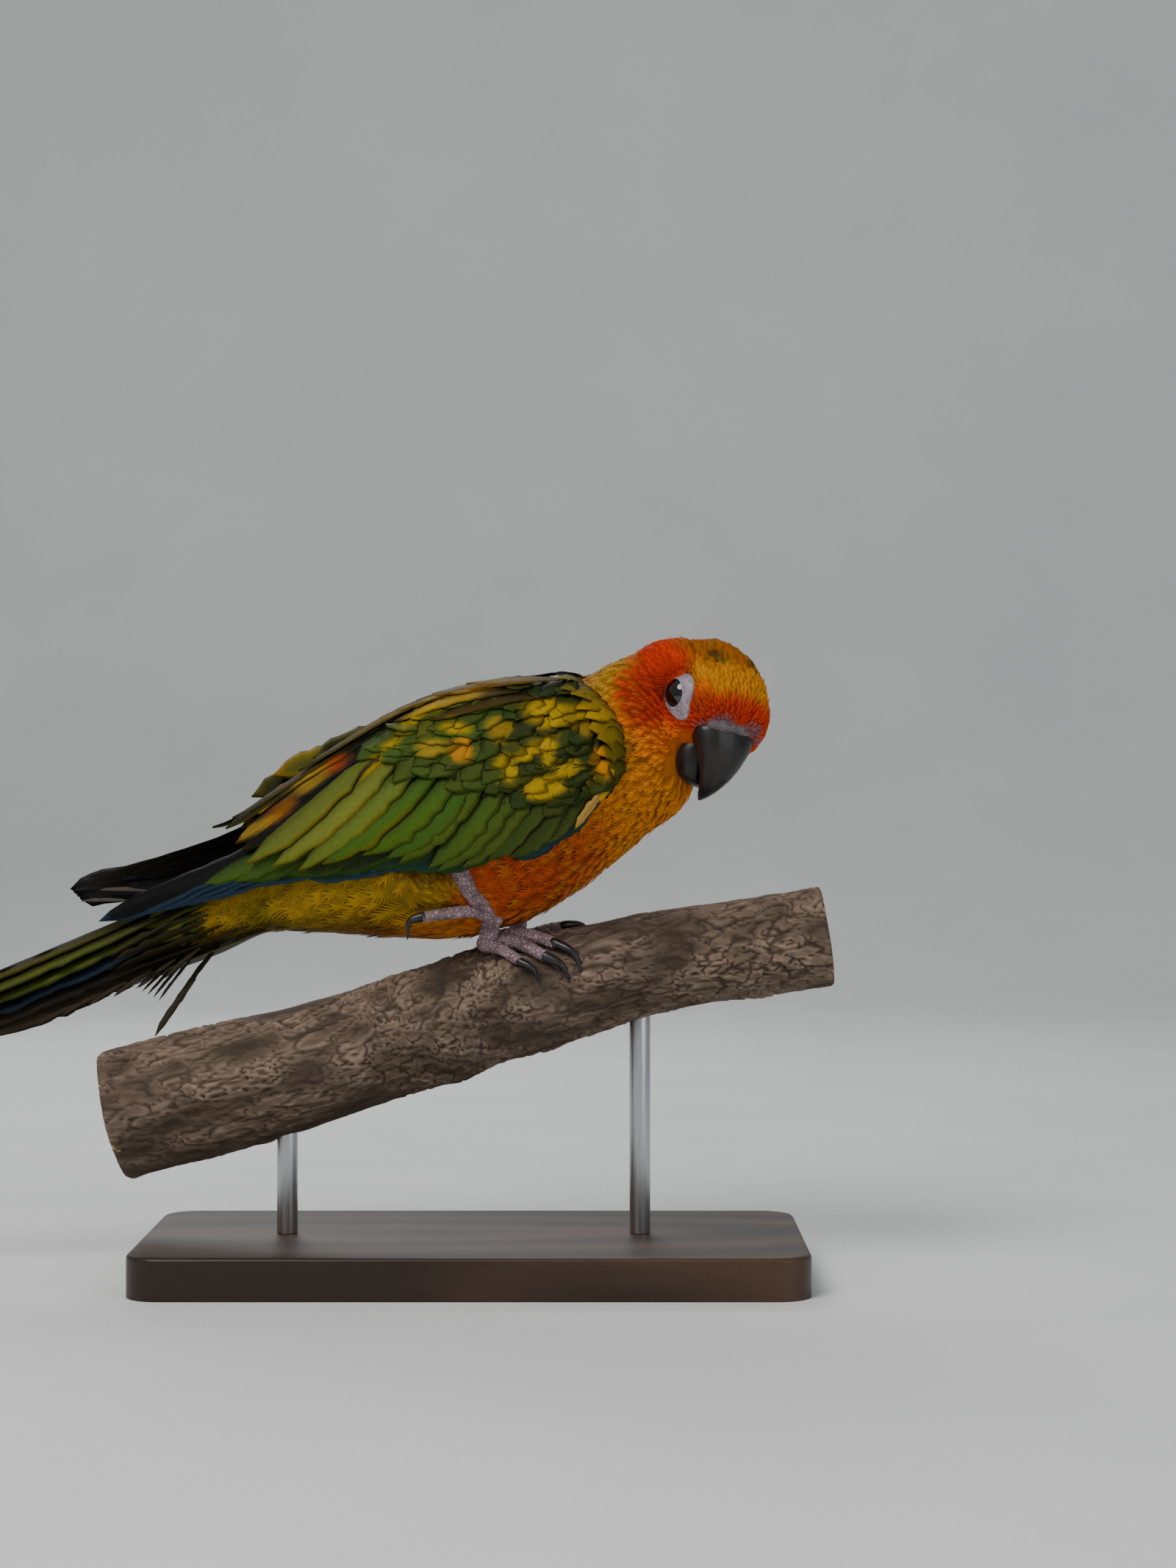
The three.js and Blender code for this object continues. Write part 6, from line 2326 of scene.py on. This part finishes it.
@dataclass
class Studio:
    """Camera at the photo's view, pale floor with a curved wall, and soft lights."""

    camera: Triple = (51, -851, 142)
    lens: float = 67.48
    floor_depth: float = 1500
    wall_height: float = 1600
    floor_half: float = 2600
    floor_front: float = -1400
    sweep: float = 500
    sky: tuple[float, ...] = (0.9, 0.93, 0.97, 1)
    sky_strength: float = 0.34
    lights: tuple[tuple[str, Triple, Triple, float, float, Triple], ...] = (
        ("key", (-420, -700, 900), (20, 0, 120), 620, 8.2, (1.0, 0.97, 0.93)),
        ("fill", (760, -760, 380), (20, 0, 120), 800, 2.2, (0.93, 0.97, 1.0)),
        ("back", (-200, 760, 760), (20, 0, 130), 560, 3.6, (1.0, 1.0, 1.0)),
    )

    def build(self) -> None:
        """Set up the camera, the floor and the lights."""
        data = bpy.data.cameras.new("camera")
        data.lens = self.lens
        data.sensor_width = 36.0
        data.clip_start = 0.01
        camera = linked("camera", data)
        camera.location = Vector(self.camera) * MM
        camera.rotation_euler = (math.radians(90), 0, 0)
        bpy.context.scene.camera = camera
        self.build_floor()
        for row in self.lights:
            self.light(*row)
        world = bpy.data.worlds.new("studio")
        world.use_nodes = True
        filled(world.node_tree.nodes["Background"], Color=self.sky, Strength=self.sky_strength)
        bpy.context.scene.world = world

    def build_floor(self) -> None:
        """Make the floor as one sheet that curves up into a wall."""
        mesh = bmesh.new()
        bmesh.ops.create_grid(mesh, x_segments=1, y_segments=1, size=1.0)
        for vert in mesh.verts:
            depth = self.floor_depth if vert.co.y > 0 else self.floor_front
            vert.co = Vector((math.copysign(self.floor_half, vert.co.x), depth, 0.0)) * MM
        back = [edge for edge in mesh.edges if all(v.co.y > 0 for v in edge.verts)]
        wall = bmesh.ops.extrude_edge_only(mesh, edges=back)
        lifted = [item for item in wall["geom"] if isinstance(item, bmesh.types.BMVert)]
        bmesh.ops.translate(mesh, vec=(0, 0, self.wall_height * MM), verts=lifted)
        corner = [e for e in mesh.edges if all(v.co.y > 0 and v.co.z < 1e-6 for v in e.verts)]
        round_edges(mesh, corner, self.sweep, 16)
        floor = finish_mesh(mesh, "studio_floor")
        shader = Shader("studio_paper")
        shader.set(Roughness=0.9, Specular_IOR_Level=0.2)
        tone = shader.noise(shader.place(), 9.0, 2.0)
        stops = ((0.3, linear("e2e5e4")), (0.7, linear("e9ebea")))
        shader.link(shader.ramp(tone, stops), shader.skin.inputs["Base Color"])
        floor.data.materials.append(shader.material)

    def light(
        self, name: str, place: Triple, target: Triple, size: float, power: float, colour: Triple
    ) -> None:
        """Add one soft area light that faces a target."""
        data = bpy.data.lights.new(name, "AREA")
        data.shape = "DISK"
        data.size = size * MM
        data.energy = power
        data.color = colour
        lamp = linked(name, data)
        lamp.location = Vector(place) * MM
        lamp.rotation_euler = (Vector(target) - Vector(place)).to_track_quat("-Z", "Y").to_euler()


def sawn_wood(k: int) -> Material:
    """Make the wood of one cut end, whose rings lie round the branch's axis there."""
    middle = tuple(BRANCH.axis(np.array([float(k)]))[0])
    return WoodFinish(f"sawn_wood_{k}", "8a6c48", "b89a70", 170.0, 0.8, "X", 1.6, middle).build()


def finishes() -> Looks:
    """Make every material once."""
    return {
        "coat": PlumageFinish("small_plumage", 0.65, 0.03, 0.4).build(),
        "skin": PlumageFinish("feathered_skin", 0.75, 0.0, 0.4).build(),
        "vanes": PlumageFinish("flight_plumage", 0.55, 0.0, 0.45, 0.62).build(),
        "tail": PlumageFinish("tail_plumage", 0.55, 0.0, 0.45, 0.7).build(),
        "bill": HornFinish("bill_horn", "0c0a0a", "2a2523", 0.36, (300, 300, 60)).build(),
        "claw": HornFinish("claw_horn", "0e0c0d", "302b2c", 0.3, (400, 400, 120)).build(),
        "cere": BareSkinFinish("cere_skin", "4c4145", "83767b", 1500, 0.25).build(),
        "eye_skin": BareSkinFinish("eye_ring_skin", "75656e", "b8aab4", 1300, 0.3).build(),
        "foot": BareSkinFinish("foot_scales", "705a5b", "b79aa1", 800, 0.9, 0.5).build(),
        "pupil": EyeFinish("eye_black", "030202", "0a0706").build(),
        "iris": EyeFinish("eye_brown", "1c0f08", "3a2414").build(),
        "bark": BarkFinish("bark_finish").build(),
        "base": WoodFinish("oiled_wood", "2a1c12", "4a3322", 14.0, 0.42, "Z").build(),
        "steel": MetalFinish("steel_finish").build(),
    }


FLESH_NODES = ("head", "neck", "torso", "thigh_right", "thigh_left")
COAT_SLOTS = {"coat_face": "plumage_face", "coat_head": "plumage_face", "coat_neck": "plumage_neck"}


def main() -> None:
    """Build every sub-assembly in order."""
    logging.basicConfig(level=logging.INFO, format="%(name)s %(message)s")
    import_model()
    Studio().build()
    looks = finishes()
    wings = (Wing(Side.RIGHT), Wing(Side.LEFT, turn=-4.2, reach=1.05))
    skin = Skin()
    skin.build(wings, LEGS)
    settle(skin.piece, looks["skin"], "plumage_body", *FLESH_NODES)
    for piece in Coat(skin, wings, LEGS).build():
        settle(piece, looks["coat"], COAT_SLOTS.get(piece.name, "plumage_body"))
    for wing, node in zip(wings, ("wing_right", "wing_left")):
        for k, piece in enumerate(wing.build()):
            settle(piece, looks["vanes"], "plumage_wing", *([node] if k == 0 else []))
    settle(loose_plumes(), looks["vanes"], "plumage_wing")
    for k, piece in enumerate(Tail().build()):
        settle(piece, looks["tail"], "plumage_tail", *(["tail"] if k == 0 else []))
    for side in Side:
        Eye(side).build(looks)
    Bill().build(looks)
    for leg in LEGS:
        leg.build(looks)
    BRANCH.build(looks["bark"], (sawn_wood(0), sawn_wood(1)))
    Stand().build(looks)


if __name__ == "__main__":
    main()
